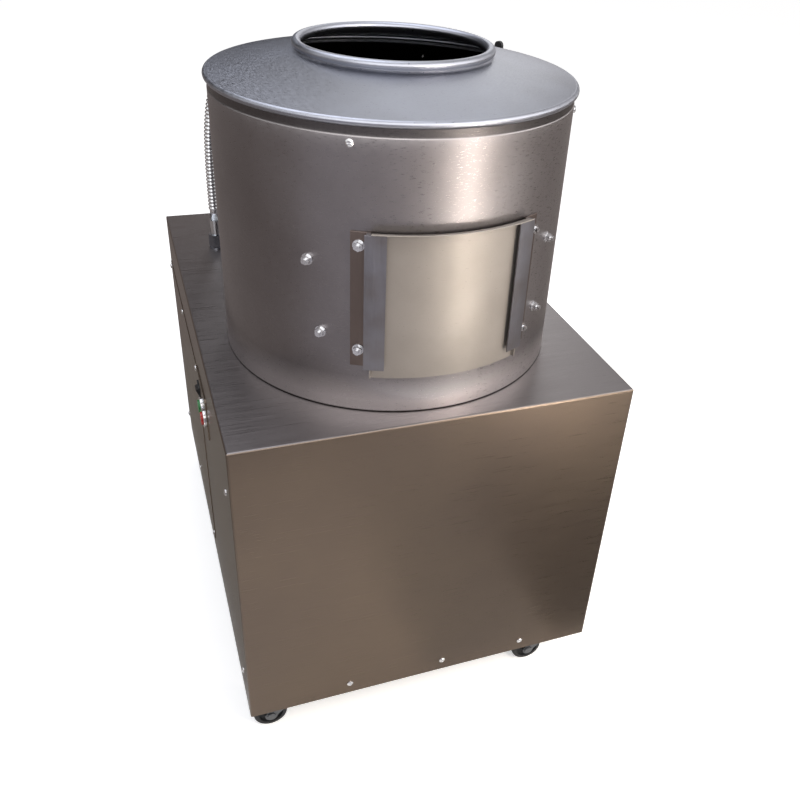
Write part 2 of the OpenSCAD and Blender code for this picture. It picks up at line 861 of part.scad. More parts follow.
module lid_outline() {
    rim_top = rim_z + rim_bead / 2;
    cone_top = rim_top + lid_rise;
    neck = collar_r + lid_t / 2;
    slope = atan2(lid_rise, rim_r - neck - neck_fillet);
    outer = concat([[rim_r, rim_top]],
                   arc_points(neck + neck_fillet, cone_top + neck_fillet, neck_fillet, 270 - slope, 180));
    inner = concat(arc_points(neck + neck_fillet, cone_top + neck_fillet, neck_fillet + lid_t, 180, 270 - slope),
                   [[rim_r, rim_top - lid_t]]);
    polygon(concat(outer, [[neck, collar_z], [neck - lid_t, collar_z]], inner));
    translate([rim_r, rim_z]) circle(rim_bead / 2);
    translate([collar_r, collar_z]) circle(collar_bead / 2);
}

skirt_r = drum_r - band_step - drum_t - skirt_gap;

module lid() color("#9a9ba3") difference() {
    at_drum() rotate_extrude() {
        lid_outline();
        translate([skirt_r - lid_t, drum_h - skirt_drop]) square([lid_t, skirt_drop + rim_bead / 2]);
    }
    lid_screw_places() cylinder(h = 8 * drum_t, r = screw_r + hole_gap, center = true);
}

module lid_screw_places() {
    for (i = [0:lid_screw_count - 1])
        on_drum(-90 + lid_screw_az + i * 360 / lid_screw_count, drum_h - lid_screw_drop - head_r, drum_r)
            children();
}

module lid_screws() color("#c9c9cc") lid_screw_places() translate([0, 0, seat_gap])
    pan_screw(drum_t + band_step + skirt_gap + lid_t + drum_t + cut);

// Discharge door, its rails and its seal

// The rail on the door's right; the left one is its mirror image about the middle of the door
module rail() {
    r0 = drum_r + seat_gap;
    r1 = drum_r + rail_room;
    side = slide_gap / drum_r * 180 / PI;
    set_back = rail_t / drum_r * 180 / PI;
    difference() {
        translate([0, 0, rail_bottom]) {
            arc_wall(r0, r0 + rail_t, door_half + side, rail_outer, rail_h);
            arc_wall(r0, r1 + rail_t / 2, door_half + side, rail_step - set_back, rail_h);
            arc_wall(r1, r1 + rail_t, rail_inner, rail_step, rail_h);
        }
        for (z = [rail_bottom + rail_bolt_low, rail_top - rail_bolt_high]) rotate([0, 0, rail_bolt_az])
            translate([drum_r, 0, z]) rotate([0, 90, 0])
                cylinder(h = 8 * rail_t, r = stud_r + hole_gap, center = true);
    }
}

module door_rail_left() color("#8d8e96") at_drum() rotate([0, 0, door_az]) mirror([0, 1, 0]) rail();

module door_rail_right() color("#8d8e96") at_drum() rotate([0, 0, door_az]) rail();

module rail_bolt_places() {
    for (s = [-1, 1], z = [rail_bottom + rail_bolt_low, rail_top - rail_bolt_high])
        on_drum(door_az + s * rail_bolt_az, z, drum_r) children();
}

module rail_bolts() color("#c9c9cc") rail_bolt_places()
    translate([0, 0, rail_t + 3 * seat_gap]) nut_bolt(drum_t + rail_t + 5 * seat_gap);

module door_seal() color("#2b2b2d") at_drum() difference() {
    seal_az = seal_w / drum_r * 180 / PI;
    az0 = door_az - opening_half;
    az1 = door_az + opening_half;
    r0 = drum_r + seat_gap;
    r1 = drum_r + seal_t;
    translate([0, 0, opening_low - seal_w])
        arc_wall(r0, r1, az0 - seal_az, az1 + seal_az, opening_high - opening_low + 2 * seal_w);
    translate([0, 0, opening_low]) arc_wall(r0 - cut, r1 + cut, az0, az1, opening_high - opening_low);
}

// Door sheet in profile: an upright run, a bend and a lip that rises a little outwards
module door_outline() {
    r1 = door_r + door_t;
    rise = atan2(lip_rise, lip_out - lip_r);
    bend_z = lip_z - lip_r + door_t;
    tip = [r1 + lip_out, lip_z + lip_rise];
    polygon(concat(
        [[door_r, door_bottom], [r1, door_bottom]],
        arc_points(r1 + lip_r - door_t, bend_z - door_t, lip_r - door_t, 180, 90 + rise),
        [tip, [tip[0], tip[1] + door_t]],
        arc_points(r1 + lip_r - door_t, bend_z - door_t, lip_r, 90 + rise, 180)
    ));
}

// The side edges of the door are folded outwards and run in the rails
module discharge_door() color("#a39c94") at_drum() {
    fold = door_t / drum_r * 180 / PI;
    sheet_half = door_half - fold / 2;
    rotate([0, 0, door_az - sheet_half]) rotate_extrude(angle = 2 * sheet_half) door_outline();
    translate([0, 0, door_bottom + door_t]) for (az = [door_az - door_half, door_az + door_half - fold])
        arc_wall(door_r, drum_r + rail_room - slide_gap, az, az + fold, lip_z - lip_r - 2 * door_t - door_bottom);
}

// Peeling disc, cap and main shaft

module disc_casting() color("#9fa1a4") difference() {
    r = disc_d / 2 - coat_edge_t / 2;
    root = disc_plate_t / 2;
    union() {
        at_drum() translate([0, 0, disc_z]) cylinder(h = disc_plate_t, r = r);
        at_drum() translate([0, 0, disc_z - disc_hub_low]) cylinder(h = disc_hub_low + root, r = disc_hub_r);
        at_drum() translate([0, 0, disc_z - disc_collar_drop])
            ring(disc_collar_r, disc_collar_r - disc_collar_t, disc_collar_drop + root);
        at_drum() for (i = [0:paddle_count - 1]) rotate([0, 0, i * 360 / paddle_count])
            translate([disc_collar_r - disc_collar_t / 2, -paddle_t / 2, disc_z - paddle_h])
                cube([r - disc_collar_r, paddle_t, paddle_h + root]);
    }
    at_drum() translate([0, 0, disc_z - disc_hub_low - cut])
        cylinder(h = disc_plate_t + disc_hub_low + 2 * cut, r = shaft_tip_r + run_gap);
}

// Height of the coat's top over the disc: level at the hub, with waves that grow towards the edge
function wave_z(share, a) = disc_top + wave_h * share * share * (1 + cos(wave_count * a)) / 2;

module disc_abrasive() color("#3b3835") at_drum() {
    r_in = shaft_tip_r + 2 * seat_gap;
    r_out = disc_d / 2;
    low = disc_z + disc_plate_t + seat_gap;
    top = [for (k = [0:coat_rings], i = [0:coat_steps - 1])
        let (share = k / coat_rings, r = r_in + (r_out - r_in) * share, a = i * 360 / coat_steps)
        [r * cos(a), r * sin(a), wave_z(share, a)]];
    floor_ring = [for (r = [r_out, r_in], i = [0:coat_steps - 1])
        let (a = i * 360 / coat_steps) [r * cos(a), r * sin(a), low]];
    rows = coat_rings + 2;
    quad = [for (k = [0:rows], i = [0:coat_steps - 1])
        let (a = k * coat_steps, b = (k == rows ? 0 : k + 1) * coat_steps, j = (i + 1) % coat_steps)
        each [[a + i, a + j, b + j], [a + i, b + j, b + i]]];
    polyhedron(points = concat(top, floor_ring), faces = quad, convexity = 6);
}

module disc_cap() color("#b9bbbf") at_drum() translate([0, 0, disc_top + seat_gap]) difference() {
    union() {
        cylinder(h = cap_h / 3, r = cap_r);
        translate([0, 0, cap_h / 3]) cylinder(h = cap_h * 2 / 3, r1 = cap_r, r2 = cap_r / 2);
    }
    translate([0, 0, -cut]) cylinder(h = cap_bore_depth + cut, r = shaft_tip_r + seat_gap);
}

module main_shaft() color("#8f9296") {
    seat_z = disc_z - disc_hub_low;
    at_drum() translate([0, 0, seat_z]) cylinder(h = shaft_tip_h, r = shaft_tip_r);
    translate([0, drum_y, shaft_low_z]) cylinder(h = deck_z + seat_z - shaft_low_z, r = shaft_d / 2);
}

// Bearing housing with its bearings, seal and bolts

module bearing_housing() color("#5d6a66") difference() {
    top = deck_z + neck_h;
    flange_top = frame_top - bearing_plate_t;
    translate([0, drum_y, 0]) rotate_extrude() polygon([
        [bearing_r, top], [neck_r, top], [neck_r, flange_top], [flange_r, flange_top],
        [flange_r, flange_top - flange_t], [tube_r, flange_top - flange_t], [tube_r, tube_low_z],
        [bearing_r, tube_low_z], [bearing_r, tube_low_z + bearing_h],
        [housing_bore_r, tube_low_z + bearing_h],
        [housing_bore_r, top - seal_seat_h - bearing_h - 2 * seat_gap],
        [bearing_r, top - seal_seat_h - bearing_h - 2 * seat_gap]
    ]);
    housing_bolt_places() translate([0, 0, -bearing_plate_t - flange_t])
        cylinder(h = bearing_plate_t + flange_t, r = bolt_r + hole_gap);
}

module housing_bolt_places() {
    for (i = [0:housing_bolt_count - 1])
        translate([0, drum_y, frame_top - bearing_plate_t / 2]) rotate([0, 0, 45 + i * 360 / housing_bolt_count])
            translate([housing_bolt_pcd / 2, 0, 0]) children();
}

module housing_bolts() color("#8f9296") housing_bolt_places() {
    under = bearing_plate_t / 2 + flange_t + seat_gap;
    translate([0, 0, -under - hex_h]) cylinder(h = hex_h, r = hex_r, $fn = 6);
    translate([0, 0, -under - hex_h / 2]) cylinder(h = under + hex_h / 2, r = bolt_r);
}

module bearing() {
    r0 = shaft_d / 2 + run_gap;
    r1 = bearing_r - seat_gap;
    rotate_extrude() difference() {
        translate([r0, 0]) square([r1 - r0, bearing_h]);
        for (z = [-cut, bearing_h - bearing_groove])
            translate([r0 + (r1 - r0) * bearing_groove_low_share, z])
                square([(r1 - r0) * (bearing_groove_high_share - bearing_groove_low_share), bearing_groove + cut]);
    }
}

module shaft_bearings() color("#a9adb1") translate([0, drum_y, 0]) {
    translate([0, 0, tube_low_z]) bearing();
    translate([0, 0, deck_z + neck_h - seal_seat_h - bearing_h - seat_gap]) bearing();
}

module shaft_seal() color("#1f1f21")
    at_drum() translate([0, 0, neck_h - seal_seat_h + seat_gap])
        ring(bearing_r - seat_gap, shaft_d / 2 + run_gap, seal_seat_h);

// Pulleys and belt: the belt's top lies flush with the rim of each pulley

belt_low_w = belt_w - 2 * belt_t * tan(groove_angle);

module groove_cut(r) {
    depth = belt_t + groove_spare;
    half_top = belt_w / 2 + groove_gap + cut * tan(groove_angle);
    half_low = belt_w / 2 + groove_gap - depth * tan(groove_angle);
    translate([r, 0]) polygon([[cut, -half_top], [cut, half_top], [-depth, half_low], [-depth, -half_low]]);
}

module driven_pulley() color("#6c6f73") translate([0, drum_y, pulley_z]) difference() {
    r = driven_d / 2;
    rim = r - belt_t - groove_spare - pulley_rim_t;
    rotate_extrude() difference() {
        union() {
            translate([rim, -pulley_w / 2]) square([r - rim, pulley_w]);
            translate([pulley_hub_r / 2, -pulley_web_t / 2]) square([rim - pulley_hub_r / 2, pulley_web_t]);
            translate([shaft_d / 2 + run_gap, -pulley_w / 2])
                square([pulley_hub_r - shaft_d / 2 - run_gap, pulley_hub_h]);
        }
        groove_cut(r);
    }
    for (i = [0:web_holes - 1]) rotate([0, 0, i * 360 / web_holes])
        translate([rim * web_hole_share + pulley_hub_r / 4, 0, -pulley_w])
            cylinder(h = 2 * pulley_w, r = web_hole_r);
    cylinder(h = 4 * pulley_hub_h, r = shaft_d / 2 + run_gap, center = true);
}

module drive_pulley() color("#6c6f73") translate([0, motor_y, pulley_z]) rotate_extrude() difference() {
    r = drive_d / 2;
    union() {
        translate([motor_shaft_d / 2 + run_gap, -pulley_w / 2])
            square([r - motor_shaft_d / 2 - run_gap, pulley_w]);
        translate([motor_shaft_d / 2 + run_gap, -pulley_w / 2])
            square([drive_hub_r - motor_shaft_d / 2 - run_gap, pulley_hub_h]);
    }
    groove_cut(r);
}

// Wrap round both pulleys from z0 to z1, off their radii by d0 below and d1 above
module belt_wrap(z0, z1, d0, d1) {
    hull() for (p = [[drum_y, driven_d / 2], [motor_y, drive_d / 2]])
        translate([0, p[0], pulley_z + z0]) cylinder(h = z1 - z0, r1 = p[1] + d0, r2 = p[1] + d1, $fn = 96);
}

module drive_belt() color("#232325") difference() {
    half = belt_w / 2;
    flare = 2 * cut / tan(groove_angle);
    belt_wrap(-half - cut, half + cut, 0, 0);
    belt_wrap(-half - 3 * cut, half + 3 * cut, -belt_t, -belt_t);
    belt_wrap(belt_low_w / 2, half + 2 * cut, -belt_t, flare);
    belt_wrap(-half - 2 * cut, -belt_low_w / 2, flare, -belt_t);
}

// Motor, hung with its shaft down

plate_top = motor_rail_z + motor_plate_t;
shield_z = plate_top + motor_flange_t;
stator_z = shield_z + shield_h;
cover_z = stator_z + stator_h;
motor_top = cover_z + fan_lap;

module at_motor(z) {
    translate([0, motor_y, z]) children();
}

module motor_body() color("#5b6f7d") difference() {
    r = motor_d / 2 - fin_h;
    bore = motor_shaft_d / 2 + run_gap;
    neck = r * shield_share;
    union() {
        at_motor(0) rotate_extrude() polygon([
            [bore, plate_top], [motor_flange_r, plate_top], [motor_flange_r, shield_z], [neck, shield_z],
            [r, stator_z], [r, cover_z], [neck, cover_z], [neck, motor_top], [bore, motor_top]
        ]);
        at_motor(stator_z + fin_t) for (i = [0:fin_count - 1]) rotate([0, 0, i * 360 / fin_count])
            translate([r - fin_t, -fin_t / 2, 0]) cube([fin_h + fin_t, fin_t, stator_h - 2 * fin_t]);
    }
    motor_bolt_places(0) cylinder(h = 4 * motor_flange_t, r = bolt_r + hole_gap, center = true);
}

module motor_fan_cover() color("#4d5c66") difference() {
    r = motor_d / 2 - fin_h;
    at_motor(cover_z + seat_gap) cylinder(h = fan_cover_h, r = r);
    at_motor(cover_z + seat_gap - cut) cylinder(h = fan_cover_h - fan_cover_t + cut, r = r * shield_share + seat_gap);
    at_motor(cover_z) for (ring_r0 = fan_hole_rings, i = [0:round(ring_r0 / fan_hole_r) - 1])
        rotate([0, 0, i * 360 / round(ring_r0 / fan_hole_r)]) translate([ring_r0, 0, 0])
            cylinder(h = fan_cover_h + 2 * cut, r = fan_hole_r, $fn = 24);
}

module motor_fan() color("#2d2f31") at_motor(motor_top + fan_lap) difference() {
    union() {
        cylinder(h = fan_h, r = fan_hub_r);
        cylinder(h = fan_cover_t, r = fan_r);
        for (i = [0:fan_blades - 1]) rotate([0, 0, i * 360 / fan_blades])
            translate([fan_hub_r - fan_blade_t, -fan_blade_t / 2, fan_cover_t / 2])
                cube([fan_r - fan_hub_r + fan_blade_t - cut, fan_blade_t, fan_h - fan_cover_t]);
    }
    translate([0, 0, -cut]) cylinder(h = fan_h + 2 * cut, r = motor_shaft_d / 2 + run_gap);
}

module motor_shaft() color("#a5a8ab") translate([0, motor_y, shaft_low_z])
    cylinder(h = motor_top + fan_lap + fan_h - shaft_low_z, r = motor_shaft_d / 2);

module terminal_box() color("#3f4a52") {
    r = motor_d / 2;
    translate([0, motor_y, stator_z + stator_h / 2]) rotate([0, -90, 0]) difference() {
        union() {
            linear_extrude(r + box_out) rounded_rect(box_h, box_w, box_r);
            translate([0, 0, r + box_out]) linear_extrude(box_lid_t)
                rounded_rect(box_h + box_lid_t, box_w + box_lid_t, box_r);
        }
        rotate([0, 90, 0]) cylinder(h = 2 * box_h, r = r + seat_gap, center = true);
    }
}

module motor_bolt_places(z) {
    for (sx = [-1, 1], sy = [-1, 1])
        translate([sx * motor_bolt_pcd / sqrt(8), motor_y + sy * motor_bolt_pcd / sqrt(8), plate_top + z])
            children();
}

module motor_plate() color("#55585a") difference() {
    translate([-motor_plate_w / 2, motor_y - motor_plate_d / 2, motor_rail_z])
        cube([motor_plate_w, motor_plate_d, motor_plate_t]);
    at_motor(motor_rail_z - cut) cylinder(h = motor_plate_t + 2 * cut, r = motor_pilot_r);
    motor_bolt_places(-motor_plate_t / 2) linear_extrude(2 * motor_plate_t, center = true) {
        square([2 * (bolt_r + hole_gap), motor_slot], center = true);
        for (s = [-1, 1]) translate([0, s * motor_slot / 2]) circle(bolt_r + hole_gap);
    }
}

module motor_bolts() color("#8f9296") motor_bolt_places(0) {
    grip = motor_plate_t + motor_flange_t;
    translate([0, 0, motor_flange_t + seat_gap]) cylinder(h = hex_h, r = hex_r + seat_gap, $fn = 6);
    translate([0, 0, -motor_plate_t - hex_h]) cylinder(h = grip + 2 * hex_h, r = bolt_r);
    translate([0, 0, -motor_plate_t - seat_gap - hex_h]) cylinder(h = hex_h, r = hex_r + seat_gap, $fn = 6);
}

// Drain pipe: down from the drum floor, a bend, and out through the back cover

module bent_line(r, drop, bend_r, reach) {
    translate([0, 0, -drop + bend_r]) cylinder(h = drop - bend_r, r = r);
    translate([0, bend_r, -drop + bend_r]) rotate([0, 90, 0]) rotate([0, 0, -90]) rotate_extrude(angle = 90)
        translate([bend_r, 0]) circle(r);
    translate([0, bend_r, -drop]) rotate([-90, 0, 0]) cylinder(h = reach - bend_r, r = r);
}

// The pipe runs slimmer up to the wide spigot behind the back cover
module drain_pipe() color("#7b7d80") {
    reach = half_d + cover_t + drain_reach - drain_y;
    drop = drain_drop + floor_t;
    translate([drain_x, drain_y, deck_z + floor_t]) difference() {
        union() {
            bent_line(drain_d / 2 - drain_neck, drop, drain_bend_r, reach - cut);
            translate([0, reach, -drop]) rotate([90, 0, 0])
                cylinder(h = drain_reach - drain_spigot_gap, r = drain_d / 2);
            translate([0, 0, seat_gap]) cylinder(h = drain_collar_t, r = drain_d / 2 + drain_collar);
            cylinder(h = drain_collar_t, r = drain_d / 2);
        }
        bent_line(drain_d / 2 - drain_wall, drop, drain_bend_r, reach + cut);
        cylinder(h = 4 * cut, r = drain_d / 2 - drain_wall, center = true);
    }
}

// Water line: rear inlet, pipe, deck fitting, hose, valve and spray nozzle

module inlet_pipe() color("#b6b1a4") translate([fitting_x, fitting_y, deck_z - fitting_drop]) {
    reach = half_d + cover_t - fitting_y;
    drop = inlet_drop - fitting_drop;
    bent_line(pipe_r, drop, inlet_bend_r, reach);
    translate([0, reach, -drop]) rotate([-90, 0, 0]) {
        translate([0, 0, seat_gap]) cylinder(h = back_nut_h, r = back_nut_r, $fn = 6);
        translate([0, 0, -back_nut_h]) cylinder(h = back_nut_h + inlet_reach, r = inlet_thread_r);
    }
}

module union_nut() {
    cylinder(h = union_h, r = nut_flats / sqrt(3), $fn = 6);
}

module deck_fitting() color("#c4c7cb") translate([fitting_x, fitting_y, deck_z]) {
    translate([0, 0, seat_gap]) cylinder(h = fitting_washer_t, r = fitting_washer_r);
    translate([0, 0, fitting_washer_t]) union_nut();
    translate([0, 0, -fitting_drop + seat_gap]) cylinder(h = fitting_drop + fitting_washer_t, r = thread_r);
    translate([0, 0, -sheet_t - seat_gap - back_nut_h]) cylinder(h = back_nut_h, r = back_nut_r, $fn = 6);
}

// Frame of the valve: origin where the nipple meets the valve line, +X out of the drum, +Y along the line
module valve_frame() {
    translate([0, drum_y, deck_z + inlet_z]) rotate([0, 0, inlet_az]) translate([drum_r + valve_off, 0, 0])
        children();
}

valve_end = valve_side + valve_run;

module hose_ferrules() color("#d4d6d9") {
    translate([fitting_x, fitting_y, deck_z + fitting_washer_t + union_h + seat_gap])
        cylinder(h = ferrule_h, r = ferrule_r);
    valve_frame() translate([0, valve_end + union_h + seat_gap, 0]) rotate([-90, 0, 0])
        cylinder(h = ferrule_h, r = ferrule_r);
}

module inlet_valve() color("#b9a57a") valve_frame() difference() {
    union() {
        rotate([0, -90, 0]) cylinder(h = valve_off + drum_t + nozzle_in, r = thread_r);
        translate([-valve_off + 2 * seat_gap, 0, 0]) rotate([0, 90, 0]) cylinder(h = washer_t * 2, r = back_nut_r);
        rotate([0, 90, 0]) cylinder(h = valve_r, r = valve_r);
        translate([0, -valve_r, 0]) rotate([-90, 0, 0]) cylinder(h = valve_end + valve_r, r = valve_r);
        for (y = [valve_side - valve_run, valve_end - valve_hex_h])
            translate([0, y, 0]) rotate([-90, 0, 0]) cylinder(h = valve_hex_h, r = valve_hex_r, $fn = 6);
        translate([0, valve_side, 0]) rotate([0, 90, 0]) cylinder(h = stem_boss_out, r = stem_boss_r);
        translate([0, valve_end + seat_gap, 0]) rotate([-90, 0, 0]) union_nut();
    }
    translate([valve_r, valve_side, 0]) rotate([0, 90, 0])
        cylinder(h = stem_boss_out, r = stem_r + run_gap);
}

// Quarter-turn lever on the valve's stem, with a soft sleeve on its arm, upright when the water is shut
module valve_lever() color("#1c1c1e") valve_frame() translate([stem_boss_out + slide_gap, valve_side, 0]) {
    rotate([0, 90, 0]) cylinder(h = lever_t, r = lever_hub_r);
    translate([-stem_boss_out + valve_r, 0, 0]) rotate([0, 90, 0]) cylinder(h = stem_boss_out - valve_r, r = stem_r);
    translate([0, -lever_w / 2, 0]) cube([lever_t, lever_w, lever_len - lever_w / 2]);
    translate([(lever_t - sleeve_t) / 2, 0, lever_len - sleeve_w / 2]) rotate([0, 90, 0])
        cylinder(h = sleeve_t, r = sleeve_w / 2);
    translate([(lever_t - sleeve_t) / 2, -sleeve_w / 2, lever_len - sleeve_len])
        cube([sleeve_t, sleeve_w, sleeve_len - sleeve_w / 2]);
}

module spray_nozzle() color("#b9a57a") valve_frame()
    translate([-valve_off - drum_t - nozzle_in - 2 * seat_gap, 0, 0]) {
        rotate([0, -90, 0]) cylinder(h = nozzle_r * 2, r = nozzle_nut_r, $fn = 6);
        translate([-nozzle_r, 0, 0]) rotate([0, 180 + rose_angle, 0]) {
            cylinder(h = nozzle_drop, r = nozzle_r / 2);
            translate([0, 0, nozzle_drop]) cylinder(h = rose_h, r1 = nozzle_r / 2, r2 = rose_r);
        }
    }

// Corrugated hose, one tube with its bore, swept along a smooth curve through the route

function spline(p, q, r, s, t) =
    (2 * q + (r - p) * t + (2 * p - 5 * q + 4 * r - s) * t * t + (3 * q - p - 3 * r + s) * t * t * t) / 2;
function route_at(u) =
    let (n = len(hose_route) - 1, k = min(floor(u), n - 1), t = u - k,
         q = hose_route[k], r = hose_route[k + 1],
         p = k > 0 ? hose_route[k - 1] : 2 * q - r,
         s = k + 2 <= n ? hose_route[k + 2] : 2 * r - q)
    spline(p, q, r, s, t);

// Distances along the route at even steps of its parameter, and the parameter at a distance
hose_steps = 12;
hose_samples = [for (i = [0:(len(hose_route) - 1) * hose_steps]) route_at(i / hose_steps)];
function run_lengths(points, i = 0, total = 0) =
    i >= len(points) - 1 ? [total]
    : concat([total], run_lengths(points, i + 1, total + norm(points[i + 1] - points[i])));
hose_runs = run_lengths(hose_samples);
hose_length = hose_runs[len(hose_runs) - 1];
function step_at(d, low, high) =
    high - low <= 1 ? low : let (mid = floor((low + high) / 2)) hose_runs[mid] <= d ? step_at(d, mid, high) : step_at(d, low, mid);
function place_at(d) =
    let (k = step_at(d, 0, len(hose_runs) - 1), span = hose_runs[k + 1] - hose_runs[k])
    route_at((k + (d - hose_runs[k]) / span) / hose_steps);

hose_ribs = floor((hose_length - 2 * hose_d) / hose_pitch);
hose_probe = 0.5;

function hose_frame(d) =
    let (a = place_at(max(0, d - hose_probe)), b = place_at(min(hose_length, d + hose_probe)),
         t = (b - a) / norm(b - a), n0 = cross(t, [0, 1, 0]), n = n0 / norm(n0))
    [place_at(d), n, cross(t, n)];
function hose_ring(d, r) =
    let (f = hose_frame(d))
    [for (i = [0:hose_sides - 1]) let (a = i * 360 / hose_sides) f[0] + r * (cos(a) * f[1] + sin(a) * f[2])];

module water_hose() color("#a7a9ad") translate([0, 0, deck_z]) {
    root_r = hose_d / 2 * hose_root_share;
    start = (hose_length - hose_ribs * hose_pitch) / 2;
    stations = concat([[0, root_r]],
        [for (k = [0:hose_ribs - 1]) each [[start + k * hose_pitch, root_r], [start + (k + 1 / 2) * hose_pitch, hose_d / 2]]],
        [[start + hose_ribs * hose_pitch, root_r], [hose_length, root_r]]);
    bores = concat([for (k = [0:hose_bore_every:len(stations) - 2]) stations[k][0]], [hose_length]);
    outer = [for (s = stations) each hose_ring(s[0], s[1])];
    inner = [for (d = bores) each hose_ring(d, hose_bore / 2)];
    m = hose_sides;
    n_out = len(stations);
    n_in = len(bores);
    base = n_out * m;
    skin = [for (k = [0:n_out - 2], i = [0:m - 1]) let (j = (i + 1) % m)
        each [[k * m + i, (k + 1) * m + i, (k + 1) * m + j], [k * m + i, (k + 1) * m + j, k * m + j]]];
    bore = [for (k = [0:n_in - 2], i = [0:m - 1]) let (j = (i + 1) % m, a = base + k * m, b = base + (k + 1) * m)
        each [[a + i, b + j, b + i], [a + i, a + j, b + j]]];
    ends = [for (i = [0:m - 1]) let (j = (i + 1) % m, a = (n_out - 1) * m, b = base + (n_in - 1) * m)
        each [[i, j, base + j], [i, base + j, base + i], [a + i, b + j, a + j], [a + i, b + i, b + j]]];
    polyhedron(points = concat(outer, inner), faces = concat(skin, bore, ends), convexity = 10);
}

echo(hose_length = hose_length, hose_ribs = hose_ribs);

// Controls on the left side: two ringed push buttons and a rocker on one plate

// Puts children on the left wall with +Z out of the cabinet, +X to the back and +Y up
module on_left(share) {
    translate([-half_w, control_y + share * plate_w, control_z]) rotate([90, 0, -90]) mirror([1, 0, 0])
        children();
}

module control_holes() {
    for (k = [1, 2]) on_left(control_y_shares[k]) translate([0, 0, -4 * sheet_t])
        cylinder(h = 8 * sheet_t, r = button_d / 2 + slide_gap);
    on_left(control_y_shares[0]) cube([bezel_w - bezel_t * 2, bezel_h - bezel_t * 2, 8 * sheet_t], center = true);
}

module control_plate() color("#8a8275") difference() {
    on_left(0) linear_extrude(plate_t) rounded_rect(plate_w, plate_h, plate_r);
    control_holes();
}

// Well in which the rocker turns, a cylinder across the plate
rocker_axis_z = plate_t + bezel_t - rocker_sink;

module switch_housing() color("#1d1e20") difference() {
    union() {
        on_left(0) translate([0, 0, -sheet_t - body_out]) linear_extrude(body_out)
            rounded_rect(body_w, body_h, body_r);
        on_left(control_y_shares[0]) translate([0, 0, plate_t + seat_gap])
            linear_extrude(bezel_t) rounded_rect(bezel_w, bezel_h, bezel_t * 2);
        on_left(control_y_shares[0]) translate([0, 0, -sheet_t - cut])
            linear_extrude(sheet_t + plate_t + 2 * cut)
                square([bezel_w - bezel_t * 2 - slide_gap, bezel_h - bezel_t * 2 - slide_gap], center = true);
    }
    for (k = [1, 2]) on_left(control_y_shares[k])
        translate([0, 0, -sheet_t - button_deep - button_foot])
            cylinder(h = button_deep + button_foot + cut, r = button_d / 2 + slide_gap + seat_gap);
    on_left(control_y_shares[0]) translate([0, 0, rocker_axis_z]) rotate([0, 90, 0])
        cylinder(h = rocker_w + 2 * slide_gap, r = rocker_r + slide_gap, center = true);
}

module button_rings() color("#d8dadd") for (k = [1, 2]) on_left(control_y_shares[k])
    translate([0, 0, plate_t + seat_gap]) rotate_extrude() {
        r0 = button_d / 2 + slide_gap;
        translate([r0, 0]) square([ring_r - r0, ring_h - ring_round]);
        translate([r0, 0]) square([ring_r - r0 - ring_round, ring_h]);
        translate([ring_r - ring_round, ring_h - ring_round]) circle(ring_round);
    }

module push_button(k) {
    out = plate_t + ring_h + button_proud;
    on_left(control_y_shares[k]) translate([0, 0, -sheet_t - button_deep])
        cylinder(h = out + sheet_t + button_deep, r = button_d / 2);
}

module start_button() color("#3f8a4c") push_button(1);

module stop_button() color("#b3332c") push_button(2);

// Rocker: a barrel about its pivot with its outer side cut to a shallow V, at rest on its off stop
module rocker() color("#26272a") on_left(control_y_shares[0]) translate([0, 0, rocker_axis_z]) rotate([rocker_tilt, 0, 0])
    intersection() {
        rotate([0, 90, 0]) cylinder(h = rocker_w, r = rocker_r, center = true);
        rotate([90, 0, 90]) linear_extrude(rocker_w + cut, center = true)
            polygon([[-rocker_r - cut, -rocker_r], [rocker_r + cut, -rocker_r], [rocker_r + cut, rocker_sink + rocker_dip],
                     [0, rocker_sink], [-rocker_r - cut, rocker_sink + rocker_dip]]);
    }

// Cable gland in the back cover

module cable_gland() color("#242527") translate([-half_w + gland_side, half_d + cover_t, base_z + gland_z])
    rotate([-90, 0, 0]) difference() {
        union() {
            translate([0, 0, seat_gap]) cylinder(h = gland_hex_h, r = gland_hex_r, $fn = 6);
            cylinder(h = gland_nose_h, r = gland_nose_r);
            translate([0, 0, -gland_in]) cylinder(h = gland_in + cut, r = gland_thread_r);
        }
        translate([0, 0, -gland_in - cut]) cylinder(h = gland_in + gland_nose_h + 2 * cut, r = gland_bore_r);
    }

placed() base_frame();
placed() cabinet_skin();
placed() left_cover();
placed() right_cover();
placed() back_cover();
placed() cabinet_screws();
placed() caster_plates();
placed() caster_bolts();
placed() kingpin_place(-1, -1) caster_fork();  // caster_fork_fl
placed() kingpin_place(1, -1) caster_fork();  // caster_fork_fr
placed() kingpin_place(-1, 1) caster_fork();  // caster_fork_bl
placed() kingpin_place(1, 1) caster_fork();  // caster_fork_br
placed() kingpin_place(-1, -1) caster_wheel();  // caster_wheel_fl
placed() kingpin_place(1, -1) caster_wheel();  // caster_wheel_fr
placed() kingpin_place(-1, 1) caster_wheel();  // caster_wheel_bl
placed() kingpin_place(1, 1) caster_wheel();  // caster_wheel_br
placed() drum_wall();
placed() drum_floor();
placed() drum_lining();
placed() lining_bolts();
placed() lid();
placed() lid_screws();
placed() door_rail_left();
placed() door_rail_right();
placed() rail_bolts();
placed() door_seal();
placed() discharge_door();
placed() disc_casting();
placed() disc_abrasive();
placed() disc_cap();
placed() main_shaft();
placed() driven_pulley();
placed() bearing_housing();
placed() housing_bolts();
placed() shaft_bearings();
placed() shaft_seal();
placed() drive_belt();
placed() motor_body();
placed() motor_fan_cover();
placed() motor_fan();
placed() motor_shaft();
placed() drive_pulley();
placed() terminal_box();
placed() motor_plate();
placed() motor_bolts();
placed() drain_pipe();
placed() inlet_pipe();
placed() deck_fitting();
placed() water_hose();
placed() hose_ferrules();
placed() inlet_valve();
placed() valve_lever();
placed() spray_nozzle();
placed() control_plate();
placed() switch_housing();
placed() button_rings();
